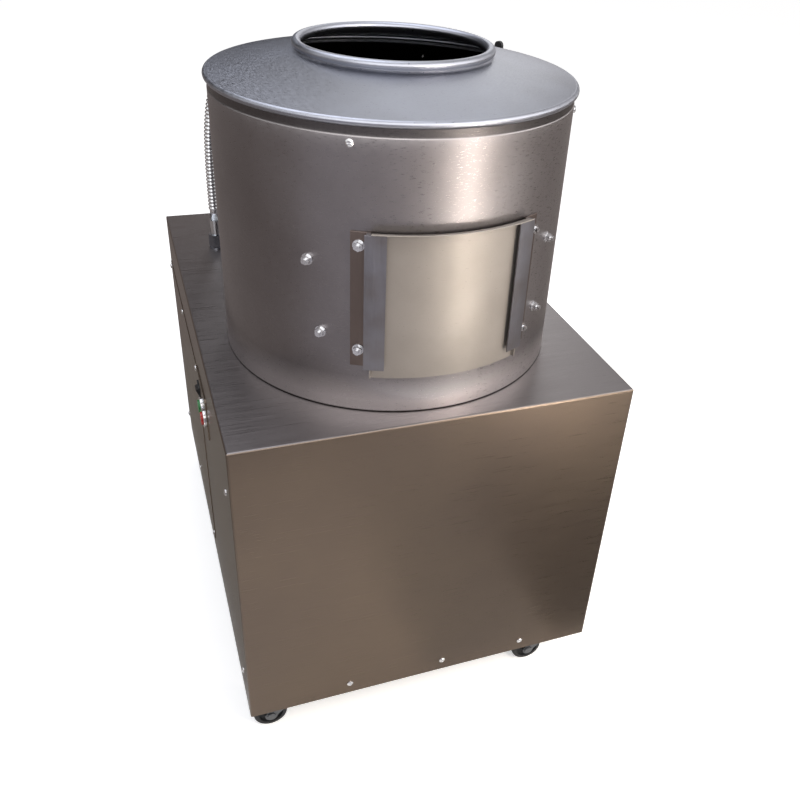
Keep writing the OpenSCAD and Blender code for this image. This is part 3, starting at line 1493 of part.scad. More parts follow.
placed() start_button();
placed() stop_button();
placed() rocker();
placed() cable_gland();
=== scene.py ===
"""Looks of an electric potato peeler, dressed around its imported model.

The machine's lengths are written in millimetres and turned to metres by one factor; the studio's
places are in metres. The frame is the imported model's own: +Z up, front towards -Y, origin on the
floor under the middle of the whole box.
"""

import logging
import math
from dataclasses import dataclass
from enum import Enum
from typing import Sequence

import bmesh
import bpy
import numpy as np
from mathutils import Matrix, Vector

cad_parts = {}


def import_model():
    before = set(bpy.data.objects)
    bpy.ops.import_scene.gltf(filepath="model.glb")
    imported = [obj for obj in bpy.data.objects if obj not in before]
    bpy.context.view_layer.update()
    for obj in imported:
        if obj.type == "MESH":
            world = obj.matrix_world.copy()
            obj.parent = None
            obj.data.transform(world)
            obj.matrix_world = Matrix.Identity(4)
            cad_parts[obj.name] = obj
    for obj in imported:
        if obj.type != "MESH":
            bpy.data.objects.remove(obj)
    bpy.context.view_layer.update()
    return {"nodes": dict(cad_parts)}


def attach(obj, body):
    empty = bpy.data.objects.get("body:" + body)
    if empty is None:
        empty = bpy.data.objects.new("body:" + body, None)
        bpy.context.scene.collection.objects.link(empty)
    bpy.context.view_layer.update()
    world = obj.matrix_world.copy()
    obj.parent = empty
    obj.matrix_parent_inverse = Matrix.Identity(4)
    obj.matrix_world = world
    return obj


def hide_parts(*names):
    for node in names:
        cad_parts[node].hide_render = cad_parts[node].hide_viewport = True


LOG = logging.getLogger("peeler")
Tree = bpy.types.NodeTree
Node = bpy.types.Node
Socket = bpy.types.NodeSocket
Span = tuple[float, float]
MM = 0.001
# points of a mesh that lie closer than this are one point
WELD_MM = 0.001
WHITE = "#ffffff"
# span that holds most values of a noise
MIDDLE_SPAN = (0.3, 0.7)


class Axis(Enum):
    """Direction in which the grinding marks of a sheet run."""

    X = 0
    Y = 1
    Z = 2
    AROUND = 3


def linear(colour: str) -> tuple[float, float, float, float]:
    """Turns an sRGB hex colour to linear light.

    Args:
        colour: six hex digits with a leading hash.

    Returns:
        Red, green, blue and an alpha of one.
    """
    parts = [int(colour[i : i + 2], 16) / 255 for i in (1, 3, 5)]
    return tuple(c / 12.92 if c <= 0.04045 else ((c + 0.055) / 1.055) ** 2.4 for c in parts) + (1.0,)


@dataclass(frozen=True)
class PeelerSizes:
    """Driving sizes of the machine in millimetres, as the solids have them.

    Attributes:
        cabinet_w: width of the cabinet.
        cabinet_d: its depth.
        deck_z: height of its deck over the floor.
        drum_r: outer radius of the drum.
        drum_h: its height over the deck.
        drum_y: place of its middle in depth, from the cabinet's middle.
        shift_x: sideways step from the cabinet's middle to the frame's origin.
        shift_y: the same step in depth.
        door_turn: angle of the door off the front, in degrees.
        rim_z: height of the lid's rolled rim over the deck.
        lid_rise: rise of the lid's cone.
    """

    shift_x: float = 2.7
    shift_y: float = -18.4
    cabinet_w: float = 540.0
    cabinet_d: float = 750.0
    deck_z: float = 537.0
    drum_r: float = 228.0
    drum_h: float = 352.0
    drum_y: float = -121.0
    door_turn: float = 1.8
    rim_z: float = 356.6
    lid_rise: float = 22.0

    def place(self, x: float, y: float, z: float) -> Vector:
        """Moves a point of the drawing into the model's frame, in metres, with z from the deck."""
        return Vector(((x + self.shift_x) * MM, (y + self.shift_y) * MM, (z + self.deck_z) * MM))


SIZES = PeelerSizes()


def feed(tree: Tree, entry: Socket, value: object) -> None:
    """Links a socket to an input, or sets a constant on it.

    Args:
        tree: node tree of the input.
        entry: the input.
        value: the socket or the constant.
    """
    if isinstance(value, Socket):
        tree.links.new(value, entry)
    else:
        entry.default_value = value


def add_node(tree: Tree, kind: str, settings: dict[str | int, object]) -> Node:
    """Adds one shader node.

    Args:
        tree: node tree that gets the node.
        kind: Blender's name of the node type.
        settings: attributes of the node by name, and a constant or a socket for inputs by name or index.

    Returns:
        The new node.
    """
    node = tree.nodes.new(kind)
    for key, value in settings.items():
        if isinstance(key, str) and hasattr(node, key):
            setattr(node, key, value)
        else:
            feed(tree, node.inputs[key], value)
    return node


def ends(span: Span, to: Span) -> dict[str, float]:
    """Returns the settings that turn one span of values into another."""
    return {"From Min": span[0], "From Max": span[1], "To Min": to[0], "To Max": to[1]}


def emptied(owner: bpy.types.Material | bpy.types.World) -> Tree:
    """Empties the node tree of a new material or world.

    Args:
        owner: the material or world.

    Returns:
        Its node tree.
    """
    owner.use_nodes = True
    owner.node_tree.nodes.clear()
    return owner.node_tree


@dataclass(frozen=True)
class Canvas:
    """The nodes of one material, with the patterns that finishes share.

    Attributes:
        tree: its node tree.
        shader: its shader.
        coords: coordinates of the piece in metres.
    """

    tree: Tree
    shader: Node
    coords: Socket

    def set(self, name: str, value: Socket | float) -> None:
        """Gives an input of the shader a constant or a pattern."""
        feed(self.tree, self.shader.inputs[name], value)

    def grain(
        self,
        size_mm: float,
        detail: float = 3.0,
        rough: float = 0.5,
        stretch: Sequence[float] = (1.0, 1.0, 1.0),
        coords: Socket | None = None,
    ) -> Socket:
        """Adds grain of a real size, as noise on stretched coordinates.

        Args:
            size_mm: size of one grain in millimetres.
            detail: octaves of the noise.
            rough: strength of its finer octaves.
            stretch: scale of each axis, below one where the grain runs long.
            coords: coordinates other than the piece's own.

        Returns:
            The grain, from 0 to 1.
        """
        place = {"Scale": stretch, "Vector": self.coords if coords is None else coords}
        spread = add_node(self.tree, "ShaderNodeMapping", place).outputs["Vector"]
        size = {"Scale": 1 / (size_mm * MM), "Detail": detail, "Roughness": rough, "Vector": spread}
        return add_node(self.tree, "ShaderNodeTexNoise", size).outputs["Fac"]

    def tint(self, colour: str, value: Socket, span: Span, to: Span) -> None:
        """Lays a colour over the present one.

        Args:
            colour: the new colour.
            value: grain or distance that says where it shows.
            span: values between which its share changes.
            to: its shares at those two values.
        """
        share = add_node(self.tree, "ShaderNodeMapRange", {"Value": value, **ends(span, to)})
        entry = self.shader.inputs["Base Color"]
        under = entry.links[0].from_socket if entry.is_linked else tuple(entry.default_value)
        mix = {"data_type": "RGBA", 0: share.outputs["Result"], 6: under, 7: linear(colour)}
        feed(self.tree, entry, add_node(self.tree, "ShaderNodeMix", mix).outputs[2])

    def relief(self, height: Socket, depth_mm: float) -> None:
        """Lets a height from 0 to 1 tilt the surface.

        Args:
            height: the height.
            depth_mm: its real depth in millimetres.
        """
        depth = {"Strength": 1.0, "Distance": depth_mm * MM, "Height": height}
        self.set("Normal", add_node(self.tree, "ShaderNodeBump", depth).outputs["Normal"])

    def roughen(self, value: Socket, low: float, high: float) -> None:
        """Lets the roughness follow a grain.

        Args:
            value: the grain.
            low: roughness at the low end of its middle span.
            high: roughness at the high end.
        """
        span = {"Value": value, **ends(MIDDLE_SPAN, (low, high))}
        self.set("Roughness", add_node(self.tree, "ShaderNodeMapRange", span).outputs["Result"])


@dataclass(frozen=True)
class Finish:
    """A surface finish: what every finish shares.

    Attributes:
        name: a maker's name for it.
        colour: its main sRGB colour.
        roughness: roughness of the shader.
    """

    name: str
    colour: str
    roughness: float

    def material(self) -> bpy.types.Material:
        """Makes the finish's material on first use.

        Returns:
            The material.
        """
        found = bpy.data.materials.get(self.name)
        if found:
            return found
        made = bpy.data.materials.new(self.name)
        tree = emptied(made)
        base = {"Roughness": self.roughness, "Base Color": linear(self.colour)}
        shader = add_node(tree, "ShaderNodeBsdfPrincipled", base)
        add_node(tree, "ShaderNodeOutputMaterial", {"Surface": shader.outputs["BSDF"]})
        coords = add_node(tree, "ShaderNodeTexCoord", {}).outputs["Object"]
        self.dress(Canvas(tree, shader, coords))
        return made

    def dress(self, canvas: Canvas) -> None:
        """Adds the finish's own patterns to the material's nodes; a plain finish has none."""


@dataclass(frozen=True)
class BrushedSteel(Finish):
    """Stainless sheet with a ground grain: long fine scratches, soft clouds and a few smudges.

    Attributes:
        shade: colour of the darker clouds.
        grain: way that the scratches run.
        metal: share of metallic reflection.
        cloud_mm: size of the clouds.
        cloud_span: values of the noise at which a cloud starts and is full.
        scratch: how far the scratches change the roughness.
        scratch_mm: distance between scratches, coarser than real ones, so that they show.
        scratch_run: scale along a straight scratch, as a share of that across it.
        turned_run: the same for a scratch round the centre line.
        scratch_deep_mm: depth of the scratches.
        pull: anisotropy, which draws highlights out across level scratches.
        centre: point about which an AROUND grain turns, in metres.
        painted_shade: colour of the shade painted near the centre line, where light hardly reaches, or
            none.
        painted_shade_mm: distances from the centre line at which the painted shade is full and gone.
        bands: colours that change with the height, each with the heights at which it is full and gone.
    """

    shade: str = "#5a5552"
    grain: Axis = Axis.X
    metal: float = 1.0
    cloud_mm: float = 140.0
    cloud_span: Span = (0.35, 0.7)
    scratch: float = 0.12
    scratch_mm: float = 0.9
    scratch_run: float = 0.012
    turned_run: float = 0.02
    scratch_deep_mm: float = 0.012
    pull: float = 0.0
    centre: tuple[float, float] = (0.0, 0.0)
    painted_shade: str = ""
    painted_shade_mm: Span = (229.6, 236.0)
    bands: tuple[tuple[str, float, float], ...] = ()

    def dress(self, canvas: Canvas) -> None:
        """Adds clouds, painted shade near the centre line and bands to the colour, and scratches to the
        roughness and the normal.

        Args:
            canvas: nodes of the material.
        """
        canvas.set("Metallic", self.metal)
        canvas.set("Anisotropic", self.pull)
        canvas.tint(self.shade, canvas.grain(self.cloud_mm, detail=4.0), self.cloud_span, (0.0, 1.0))
        reach, angle, height = self.about_centre(canvas)
        # painted shade: a darker colour near the centre line, on the drum's inside and in the rails'
        # corner
        if self.painted_shade:
            canvas.tint(self.painted_shade, reach, (self.painted_shade_mm[0] * MM, self.painted_shade_mm[1] * MM), (1.0, 0.0))
        for band, full, gone in self.bands:
            canvas.tint(band, height, (full * MM, gone * MM), (1.0, 0.0))
        coords, stretch = canvas.coords, [1.0, 1.0, 1.0]
        if self.grain is Axis.AROUND:
            total = {"operation": "ADD", 0: reach, 1: height}
            across = add_node(canvas.tree, "ShaderNodeMath", total).outputs["Value"]
            turned = add_node(canvas.tree, "ShaderNodeCombineXYZ", {"X": across, "Y": angle})
            coords = turned.outputs["Vector"]
            stretch[1:] = [self.turned_run, self.turned_run]
        else:
            stretch[self.grain.value] = self.scratch_run
        scratches = canvas.grain(self.scratch_mm, detail=5.0, rough=0.7, stretch=stretch, coords=coords)
        canvas.roughen(scratches, self.roughness - self.scratch, self.roughness + self.scratch)
        canvas.relief(scratches, self.scratch_deep_mm)

    def about_centre(self, canvas: Canvas) -> tuple[Socket, Socket, Socket]:
        """Measures from the centre line.

        Args:
            canvas: nodes of the material.

        Returns:
            The distance to the centre line, the angle round it and the height.
        """
        tree = canvas.tree
        shift = (-self.centre[0], -self.centre[1], 0.0)
        moved = add_node(tree, "ShaderNodeMapping", {"Location": shift, "Vector": canvas.coords})
        split = add_node(tree, "ShaderNodeSeparateXYZ", {"Vector": moved.outputs["Vector"]}).outputs
        flat = add_node(tree, "ShaderNodeCombineXYZ", {"X": split["X"], "Y": split["Y"]})
        length = {"operation": "LENGTH", "Vector": flat.outputs["Vector"]}
        reach = add_node(tree, "ShaderNodeVectorMath", length).outputs["Value"]
        around = {"operation": "ARCTAN2", 0: split["Y"], 1: split["X"]}
        return reach, add_node(tree, "ShaderNodeMath", around).outputs["Value"], split["Z"]


@dataclass(frozen=True)
class Plated(Finish):
    """Zinc or nickel plating: bright metal with a faint uneven sheen.

    Attributes:
        haze_mm: size of the uneven spots.
        haze: least and greatest roughness as shares of the finish's own.
    """

    haze_mm: float = 3.0
    haze: Span = (0.7, 1.4)

    def dress(self, canvas: Canvas) -> None:
        """Makes it metal and lets its roughness wander a little.

        Args:
            canvas: nodes of the material.
        """
        canvas.set("Metallic", 1.0)
        least, most = self.haze
        canvas.roughen(canvas.grain(self.haze_mm), self.roughness * least, self.roughness * most)


@dataclass(frozen=True)
class MachinePaint(Finish):
    """Sprayed enamel on metal: a fine orange peel and slight dust in the colour.

    Attributes:
        dust: colour of the dust.
        dust_mm: size of its patches.
        dust_span: values of the noise at which dust starts and is thickest.
        dust_share: how much of it shows where it is thickest.
        peel_mm: size of the orange peel.
        peel_deep_mm: depth of the orange peel.
    """

    dust: str = "#8a8780"
    dust_mm: float = 30.0
    dust_span: Span = (0.5, 0.85)
    dust_share: float = 0.3
    peel_mm: float = 1.6
    peel_deep_mm: float = 0.05

    def dress(self, canvas: Canvas) -> None:
        """Adds the orange peel and the dust.

        Args:
            canvas: nodes of the material.
        """
        canvas.relief(canvas.grain(self.peel_mm, detail=2.0), self.peel_deep_mm)
        patches = canvas.grain(self.dust_mm, detail=5.0)
        canvas.tint(self.dust, patches, self.dust_span, (0.0, self.dust_share))


@dataclass(frozen=True)
class CastMetal(Finish):
    """Sand-cast metal: grainy skin with a soft metallic shine.

    Attributes:
        metal: share of metallic reflection.
        sand_mm: size of the sand's grains.
        sand_deep_mm: depth of their print.
        swing: how far the roughness falls and rises.
    """

    metal: float = 0.85
    sand_mm: float = 1.2
    sand_deep_mm: float = 0.15
    swing: Span = (0.1, 0.12)

    def dress(self, canvas: Canvas) -> None:
        """Adds the skin of the sand mould.

        Args:
            canvas: nodes of the material.
        """
        canvas.set("Metallic", self.metal)
        sand = canvas.grain(self.sand_mm, detail=6.0, rough=0.65)
        canvas.relief(sand, self.sand_deep_mm)
        canvas.roughen(sand, self.roughness - self.swing[0], self.roughness + self.swing[1])


@dataclass(frozen=True)
class Grit(Finish):
    """Carborundum grains in resin: dark matrix with lighter sharp grains.

    Attributes:
        grain_mm: size of a grain.
        grain_deep_mm: how far the grains stand out.
        bit_share: size of a lighter grain as a share of that.
        bit_span: values of the noise at which a lighter grain starts and is full.
        bit_depth: how much of its colour shows.
        dome: distances from a grain's middle, as shares of its size, of its top and its foot.
        spark: colour of the lighter grains.
        shine: level of plain reflection, below that of smooth plastic.
    """

    grain_mm: float = 2.2
    grain_deep_mm: float = 0.9
    bit_share: float = 0.6
    bit_span: Span = (0.55, 0.7)
    bit_depth: float = 0.8
    dome: Span = (0.0, 0.7)
    spark: str = "#8d8781"
    shine: float = 0.08

    def dress(self, canvas: Canvas) -> None:
        """Adds the grains to the colour and to the height.

        Args:
            canvas: nodes of the material.
        """
        canvas.set("Specular IOR Level", self.shine)
        bits = canvas.grain(self.grain_mm * self.bit_share, detail=4.0, rough=0.7)
        canvas.tint(self.spark, bits, self.bit_span, (0.0, self.bit_depth))
        size = {"Scale": 1 / (self.grain_mm * MM), "Vector": canvas.coords}
        cells = add_node(canvas.tree, "ShaderNodeTexVoronoi", size).outputs["Distance"]
        heights = {"Value": cells, **ends(self.dome, (1.0, 0.0))}
        domes = add_node(canvas.tree, "ShaderNodeMapRange", heights).outputs["Result"]
        canvas.relief(domes, self.grain_deep_mm)


@dataclass(frozen=True)
class Moulded(Finish):
    """Moulded plastic or rubber: one colour with a fine eroded texture.

    Attributes:
        grain_mm: size of the texture.
        depth_mm: its depth.
        swing: how far the roughness falls and rises.
    """

    grain_mm: float = 0.8
    depth_mm: float = 0.03
    swing: Span = (0.06, 0.08)

    def dress(self, canvas: Canvas) -> None:
        """Adds the texture of the mould.

        Args:
            canvas: nodes of the material.
        """
        grain = canvas.grain(self.grain_mm, detail=2.0)
        canvas.relief(grain, self.depth_mm)
        canvas.roughen(grain, self.roughness - self.swing[0], self.roughness + self.swing[1])


# foot of the drum's middle line on the deck, in metres
DRUM_FOOT = SIZES.place(0, SIZES.drum_y, 0)
DRUM_CENTRE = tuple(DRUM_FOOT.xy)
# angle of the door's middle from +X, in degrees
DOOR_MIDDLE = -90 + SIZES.door_turn
# steps round each corner of a rounded box
CORNER_STEPS = 4

# warm grey satin sheet whose brown is a painted reflection of a brown floor: broad soft reflections with
# level scratches, and a deck painted cooler and brighter as painted light on its upward face
CABINET_STEEL = BrushedSteel(
    "satin_stainless_sheet",
    # painted reflection: the sheet's warm brown, a brown floor mirrored in it
    "#6b5f54",
    0.36,
    shade="#635850",
    grain=Axis.X,
    cloud_mm=260,
    # painted light: the deck painted cooler and brighter than the front
    bands=(("#7f7a7a", SIZES.deck_z - 0.2, SIZES.deck_z - 1.0),),
)
# the covers' sheet, a little lighter: their edges stand out from the cabinet's skin; their brown, like
# the cabinet's, is a painted reflection of a brown floor
COVER_STEEL = BrushedSteel(
    "satin_stainless_cover", "#71665b", 0.38, shade="#695e54", grain=Axis.Y, cloud_mm=240
)
# ground round the drum: one tall streak of light, cool grey beside it, a paler foot painted as a
# reflection of the bright deck, a dark line at the deck, and painted shade, near-black, on its inside
DRUM_STEEL = BrushedSteel(
    "rolled_stainless_drum",
    "#8d898a",
    0.34,
    shade="#7f7a7a",
    grain=Axis.AROUND,
    pull=0.7,
    centre=DRUM_CENTRE,
    # painted shade: the wall's inner face painted near-black
    painted_shade="#141211",
    painted_shade_mm=(226.9, 227.6),
    bands=(
        # painted reflection: the foot painted paler, as the bright deck mirrored in it
        ("#c4bfbf", SIZES.deck_z + 16, SIZES.deck_z + 50),
        ("#191513", SIZES.deck_z + 0.8, SIZES.deck_z + 2.6),
    ),
)
# pale bluish spinning marks that draw light out along the cone; the skirt inside the drum is painted
# near-black as shade
LID_STEEL = BrushedSteel(
    "spun_stainless_lid",
    "#9a9ca5",
    0.36,
    shade="#8e8f96",
    grain=Axis.AROUND,
    pull=0.5,
    centre=DRUM_CENTRE,
    # painted shade: the skirt below the rim painted near-black
    bands=(("#0c0b0b", SIZES.deck_z + 350, SIZES.deck_z + 351.5),),
)
# sheared strip: grey on its raised face, with painted shade, darker and brown, in the corner at the drum
RAIL_STEEL = BrushedSteel(
    "sheared_stainless_strip",
    "#7b7a80",
    0.42,
    shade="#706c6d",
    grain=Axis.Z,
    cloud_mm=40,
    centre=DRUM_CENTRE,
    # painted shade: darker brown on the flange and the wall's foot, by the drum
    painted_shade="#6a5f5a",
)
# the door's warm bright sheet: a dull film of handling evens out its reflections
DOOR_STEEL = BrushedSteel(
    "satin_stainless_door",
    "#908a84",
    0.38,
    shade="#857f79",
    grain=Axis.X,
    metal=0.5,
    cloud_mm=90,
    pull=0.6,
)
# dull grey pressings under the cabinet, which read as dark slivers
CASTER_ZINC = Plated("dull_zinc_pressing", "#6d6f72", 0.42)
# small bright heads that catch the light as specks
SCREW_ZINC = Plated("bright_zinc_screw", "#d9d9da", 0.22)
# bright nuts and stud ends on the drum
BOLT_STEEL = Plated("bright_steel_bolt", "#cfcfd1", 0.25)
# darker shine of the union nut on the deck
FITTING_CHROME = Plated("nickel_plated_nut", "#9fa3ab", 0.16)
# the hose's end sleeve, brighter and smoother than its ribs
FERRULE_CHROME = Plated("pressed_bright_ferrule", "#c9cbce", 0.2)
# bright ribs with dark grooves between them
HOSE_STEEL = Plated("corrugated_stainless_tube", "#d6d7d9", 0.22)
# mirror-bright rings round the buttons
RING_CHROME = Plated("chromed_ring", "#e3e4e6", 0.08)
# yellowish grey of a plated brass body
VALVE_NICKEL = Plated("nickelled_brass_valve", "#b5ad9a", 0.28)
# plain yellow metal of pipe and nozzle
BRASS = Plated("turned_brass", "#b79a5c", 0.3)
# even grey shine of ground round bar
GROUND_STEEL = Plated("ground_steel_bar", "#a5a7aa", 0.25)
# drawn tube: fine lines along it
DRAIN_STEEL = BrushedSteel(
    "drawn_stainless_tube", "#8b8b8c", 0.35, shade="#7b7b7c", grain=Axis.Y, cloud_mm=60
)
# dull dark primer of the welded frame
FRAME_PAINT = MachinePaint("grey_frame_primer", "#4a4c4e", 0.55)
# grey-green gloss on the bearing housing
HOUSING_PAINT = MachinePaint("green_grey_machine_enamel", "#4f5d59", 0.45)
# blue-grey gloss on the motor
MOTOR_PAINT = MachinePaint("blue_grey_machine_enamel", "#43525f", 0.42)
# near black, slightly brown bolts
BLACK_OXIDE = MachinePaint("black_oxide_bolt", "#2c2d2f", 0.5, dust="#4a4845")
# pale grainy casting under the disc
CAST_ALUMINIUM = CastMetal("sand_cast_aluminium", "#9c9ea1", 0.5)
# dark grey grainy pulleys
CAST_IRON = CastMetal("turned_cast_iron", "#6f7276", 0.45, metal=0.7)
# smooth bright cap in the middle of the disc
POLISHED_CAP = Plated("turned_stainless_cap", "#b4b5b7", 0.2)
# black sharp grains that take nearly all light
DISC_GRIT = Grit("coarse_carborundum_coat", "#1d1b1a", 0.9, spark="#5c5753")
# the same on the wall, finer: the mouth looks black
LINING_GRIT = Grit("carborundum_wall_lining", "#1b1918", 0.9, grain_mm=1.8, spark="#4d4946")
# dull black rubber of seals and belt
BLACK_RUBBER = Moulded("black_rubber", "#1b1b1c", 0.75, grain_mm=1.5, depth_mm=0.05)
# dusty black treads
CASTER_RUBBER = Moulded("dull_caster_rubber", "#202123", 0.7, grain_mm=2.0, depth_mm=0.08)
# half-dull black mouldings
BLACK_PLASTIC = Moulded("black_moulded_plastic", "#17181a", 0.5)
# charcoal fan behind the grille
FAN_PLASTIC = Moulded("charcoal_fan_plastic", "#252628", 0.55)
# soft black sleeve of the valve's lever
SLEEVE_VINYL = Moulded("dipped_vinyl_sleeve", "#121214", 0.42)
# shiny black rocker
ROCKER_PLASTIC = Moulded("glossy_rocker_plastic", "#1d1e20", 0.28)
# clear green of the start button
START_GREEN = Moulded("green_button_cap", "#1f7a3a", 0.3)
# clear red of the stop button
STOP_RED = Moulded("red_button_cap", "#b3261c", 0.3)

# front and back, left and right, as the casters' names have them
CORNERS = ("fl", "fr", "bl", "br")
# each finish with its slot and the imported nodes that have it
NODE_FINISHES: tuple[tuple[Finish, str, tuple[str, ...]], ...] = (
    (FRAME_PAINT, "frame_paint", ("base_frame", "motor_plate")),
    (CABINET_STEEL, "cabinet_steel", ("cabinet_skin",)),
    (COVER_STEEL, "cover_steel", ("left_cover", "right_cover", "back_cover", "control_plate")),
    (SCREW_ZINC, "screw_zinc", ("cabinet_screws", "caster_bolts", "lid_screws")),
    (CASTER_ZINC, "caster_zinc", ("caster_plates", *(f"caster_fork_{c}" for c in CORNERS))),
    (CASTER_RUBBER, "caster_rubber", tuple(f"caster_wheel_{c}" for c in CORNERS)),
    (DRUM_STEEL, "drum_steel", ("drum_wall", "drum_floor")),
    (LINING_GRIT, "grit_lining", ("drum_lining",)),
    (BOLT_STEEL, "bolt_steel", ("lining_bolts", "rail_bolts")),
    (LID_STEEL, "lid_steel", ("lid",)),
    (RAIL_STEEL, "rail_steel", ("door_rail_left", "door_rail_right")),
    (BLACK_RUBBER, "seal_rubber", ("door_seal", "shaft_seal")),
    (DOOR_STEEL, "door_steel", ("discharge_door",)),
    (CAST_ALUMINIUM, "cast_aluminium", ("disc_casting",)),
    (DISC_GRIT, "grit_disc", ("disc_abrasive",)),
    (POLISHED_CAP, "polished_cap", ("disc_cap",)),
    (GROUND_STEEL, "ground_shaft", ("main_shaft", "motor_shaft")),
    (CAST_IRON, "cast_iron_paint", ("driven_pulley", "drive_pulley")),
    (HOUSING_PAINT, "housing_paint", ("bearing_housing",)),
    (BLACK_OXIDE, "black_bolt", ("housing_bolts", "motor_bolts")),
    (GROUND_STEEL, "bearing_steel", ("shaft_bearings",)),
    (BLACK_RUBBER, "belt_rubber", ("drive_belt",)),
    (MOTOR_PAINT, "motor_paint", ("motor_body", "motor_fan_cover", "terminal_box")),
    (FAN_PLASTIC, "fan_plastic", ("motor_fan",)),
    (DRAIN_STEEL, "drain_steel", ("drain_pipe",)),
    (BRASS, "brass_fitting", ("inlet_pipe", "spray_nozzle")),
    (FITTING_CHROME, "fitting_chrome", ("deck_fitting",)),
    (FERRULE_CHROME, "fitting_chrome", ("hose_ferrules",)),
    (VALVE_NICKEL, "valve_nickel", ("inlet_valve",)),
    (SLEEVE_VINYL, "lever_sleeve", ("valve_lever",)),
    (BLACK_PLASTIC, "black_plastic", ("switch_housing", "cable_gland")),
    (RING_CHROME, "ring_chrome", ("button_rings",)),
    (START_GREEN, "start_green", ("start_button",)),
    (STOP_RED, "stop_red", ("stop_button",)),
    (ROCKER_PLASTIC, "rocker_plastic", ("rocker",)),
)


@dataclass(frozen=True)
class Patch:
    """A grid of points with its faces.

    Attributes:
        points: array of rows by columns by three, in metres.
        wrap_u: whether the last row meets the first.
        wrap_v: whether the last column meets the first.
        keep: optional mask of rows by columns that says which faces stay.
    """

    points: np.ndarray
    wrap_u: bool = False
    wrap_v: bool = False
    keep: np.ndarray | None = None

    def quads(self) -> np.ndarray:
        """Numbers the corners of each face: (i, j), (i + 1, j), (i + 1, j + 1), (i, j + 1).

        Returns:
            Four corner numbers for each face.
        """
        rows, columns = self.points.shape[:2]
        i = np.arange(rows if self.wrap_u else rows - 1)
        j = np.arange(columns if self.wrap_v else columns - 1)
        a, b = np.meshgrid(i, j, indexing="ij")
        if self.keep is not None:
            a, b = a[self.keep], b[self.keep]
        a, b = a.ravel(), b.ravel()
        c, d = (a + 1) % rows, (b + 1) % columns
        return np.stack([a * columns + b, c * columns + b, c * columns + d, a * columns + d], axis=1)

    def turned(self) -> "Patch":
        """Returns the same grid with its faces looking the other way."""
        keep = None if self.keep is None else np.roll(self.keep[::-1], -int(self.wrap_u), axis=0)
        return Patch(self.points[::-1], self.wrap_u, self.wrap_v, keep)

    def volume(self) -> float:
        """Measures the signed volume under the faces.

        It is the sum over the triangles of a sixth of the triple product of their corners.

        Returns:
            The volume, above zero where a closed form's faces look outwards.
        """
        corners = self.points.reshape(-1, 3)[self.quads()]
        halves = np.concatenate([corners[:, [0, 1, 2]], corners[:, [0, 2, 3]]])
        return float(np.einsum("ij,ij->i", halves[:, 0], np.cross(halves[:, 1], halves[:, 2])).sum() / 6)

    def outward(self) -> "Patch":
        """Returns the grid with the faces of a closed form looking outwards."""
        return self if self.volume() > 0 else self.turned()


def make_piece(name: str, patches: Sequence[Patch], sharp_deg: float = 35.0) -> bpy.types.Object:
    """Makes one mesh object from grids of points.

    Args:
        name: name of the piece.
        patches: its grids.
        sharp_deg: angle over which an edge is drawn sharp.

    Returns:
        The piece, at the origin.
    """
    counts = np.array([0] + [p.points.shape[0] * p.points.shape[1] for p in patches])
    starts = np.cumsum(counts)[:-1]
    points = np.concatenate([p.points.reshape(-1, 3) for p in patches])
    quads = np.concatenate([p.quads() + start for p, start in zip(patches, starts)])
    mesh = bpy.data.meshes.new(name)
    mesh.from_pydata(points.tolist(), [], quads.tolist())
    grown = bmesh.new()
    grown.from_mesh(mesh)
    bmesh.ops.remove_doubles(grown, verts=grown.verts, dist=WELD_MM * MM)
    grown.to_mesh(mesh)
    grown.free()
    mesh.polygons.foreach_set("use_smooth", np.ones(len(mesh.polygons), bool))
    mesh.set_sharp_from_angle(angle=math.radians(sharp_deg))
    mesh.update()
    piece = bpy.data.objects.new(name, mesh)
    bpy.context.scene.collection.objects.link(piece)
    return piece


def swept(profile: np.ndarray, angles: np.ndarray) -> np.ndarray:
    """Carries a profile round the drum's middle line.

    A profile point (r, z) at the angle a becomes the line's foot plus (r cos a, r sin a, z).

    Args:
        profile: points of radius and height in millimetres.
        angles: angles from +X in radians.

    Returns:
        Points in metres, with angles as rows.
    """
    a = angles[:, None]
    r, z = profile[None, :, 0] * MM, profile[None, :, 1] * MM
    return np.stack([r * np.cos(a), r * np.sin(a), z + 0 * a], axis=2) + np.array(DRUM_FOOT)


def arc(cx: float, cy: float, r: float, start_deg: float, end_deg: float, steps: int = 10) -> np.ndarray:
    """Draws part of a circle: at the angle a the point is (cx + r cos a, cy + r sin a).

    Args:
        cx: first coordinate of its middle.
        cy: second coordinate of its middle.
        r: its radius.
        start_deg: angle of the first point.
        end_deg: angle of the last point.
        steps: steps between them.

    Returns:
        Rows of two coordinates.
    """
    a = np.radians(np.linspace(start_deg, end_deg, steps + 1))
    return np.stack([cx + r * np.cos(a), cy + r * np.sin(a)], axis=1)


def thickened(line: np.ndarray, thickness: float) -> np.ndarray:
    """Returns the closed outline of a sheet whose right-hand face follows a line.

    Each point of the far face is the near one plus the thickness times the mean normal there.

    Args:
        line: points of the right-hand face.
        thickness: thickness of the sheet.

    Returns:
        Rows of two coordinates.
    """
    steps = np.diff(line, axis=0)
    steps /= np.linalg.norm(steps, axis=1)[:, None]
    along = np.vstack([steps[:1], steps[:-1] + steps[1:], steps[-1:]])
    along /= np.linalg.norm(along, axis=1)[:, None]
    bend = np.concatenate([[1.0], np.sqrt((1 + (steps[:-1] * steps[1:]).sum(axis=1)) / 2), [1.0]])
    normal = np.stack([-along[:, 1], along[:, 0]], axis=1)
    return np.vstack([line, (line + normal * (thickness / bend)[:, None])[::-1]])


def dress_piece(piece: bpy.types.Object, finish: Finish) -> None:
    """Gives a piece its material.

    Args:
        piece: the piece.
        finish: its finish.
    """
    piece.data.materials.clear()
    piece.data.materials.append(finish.material())


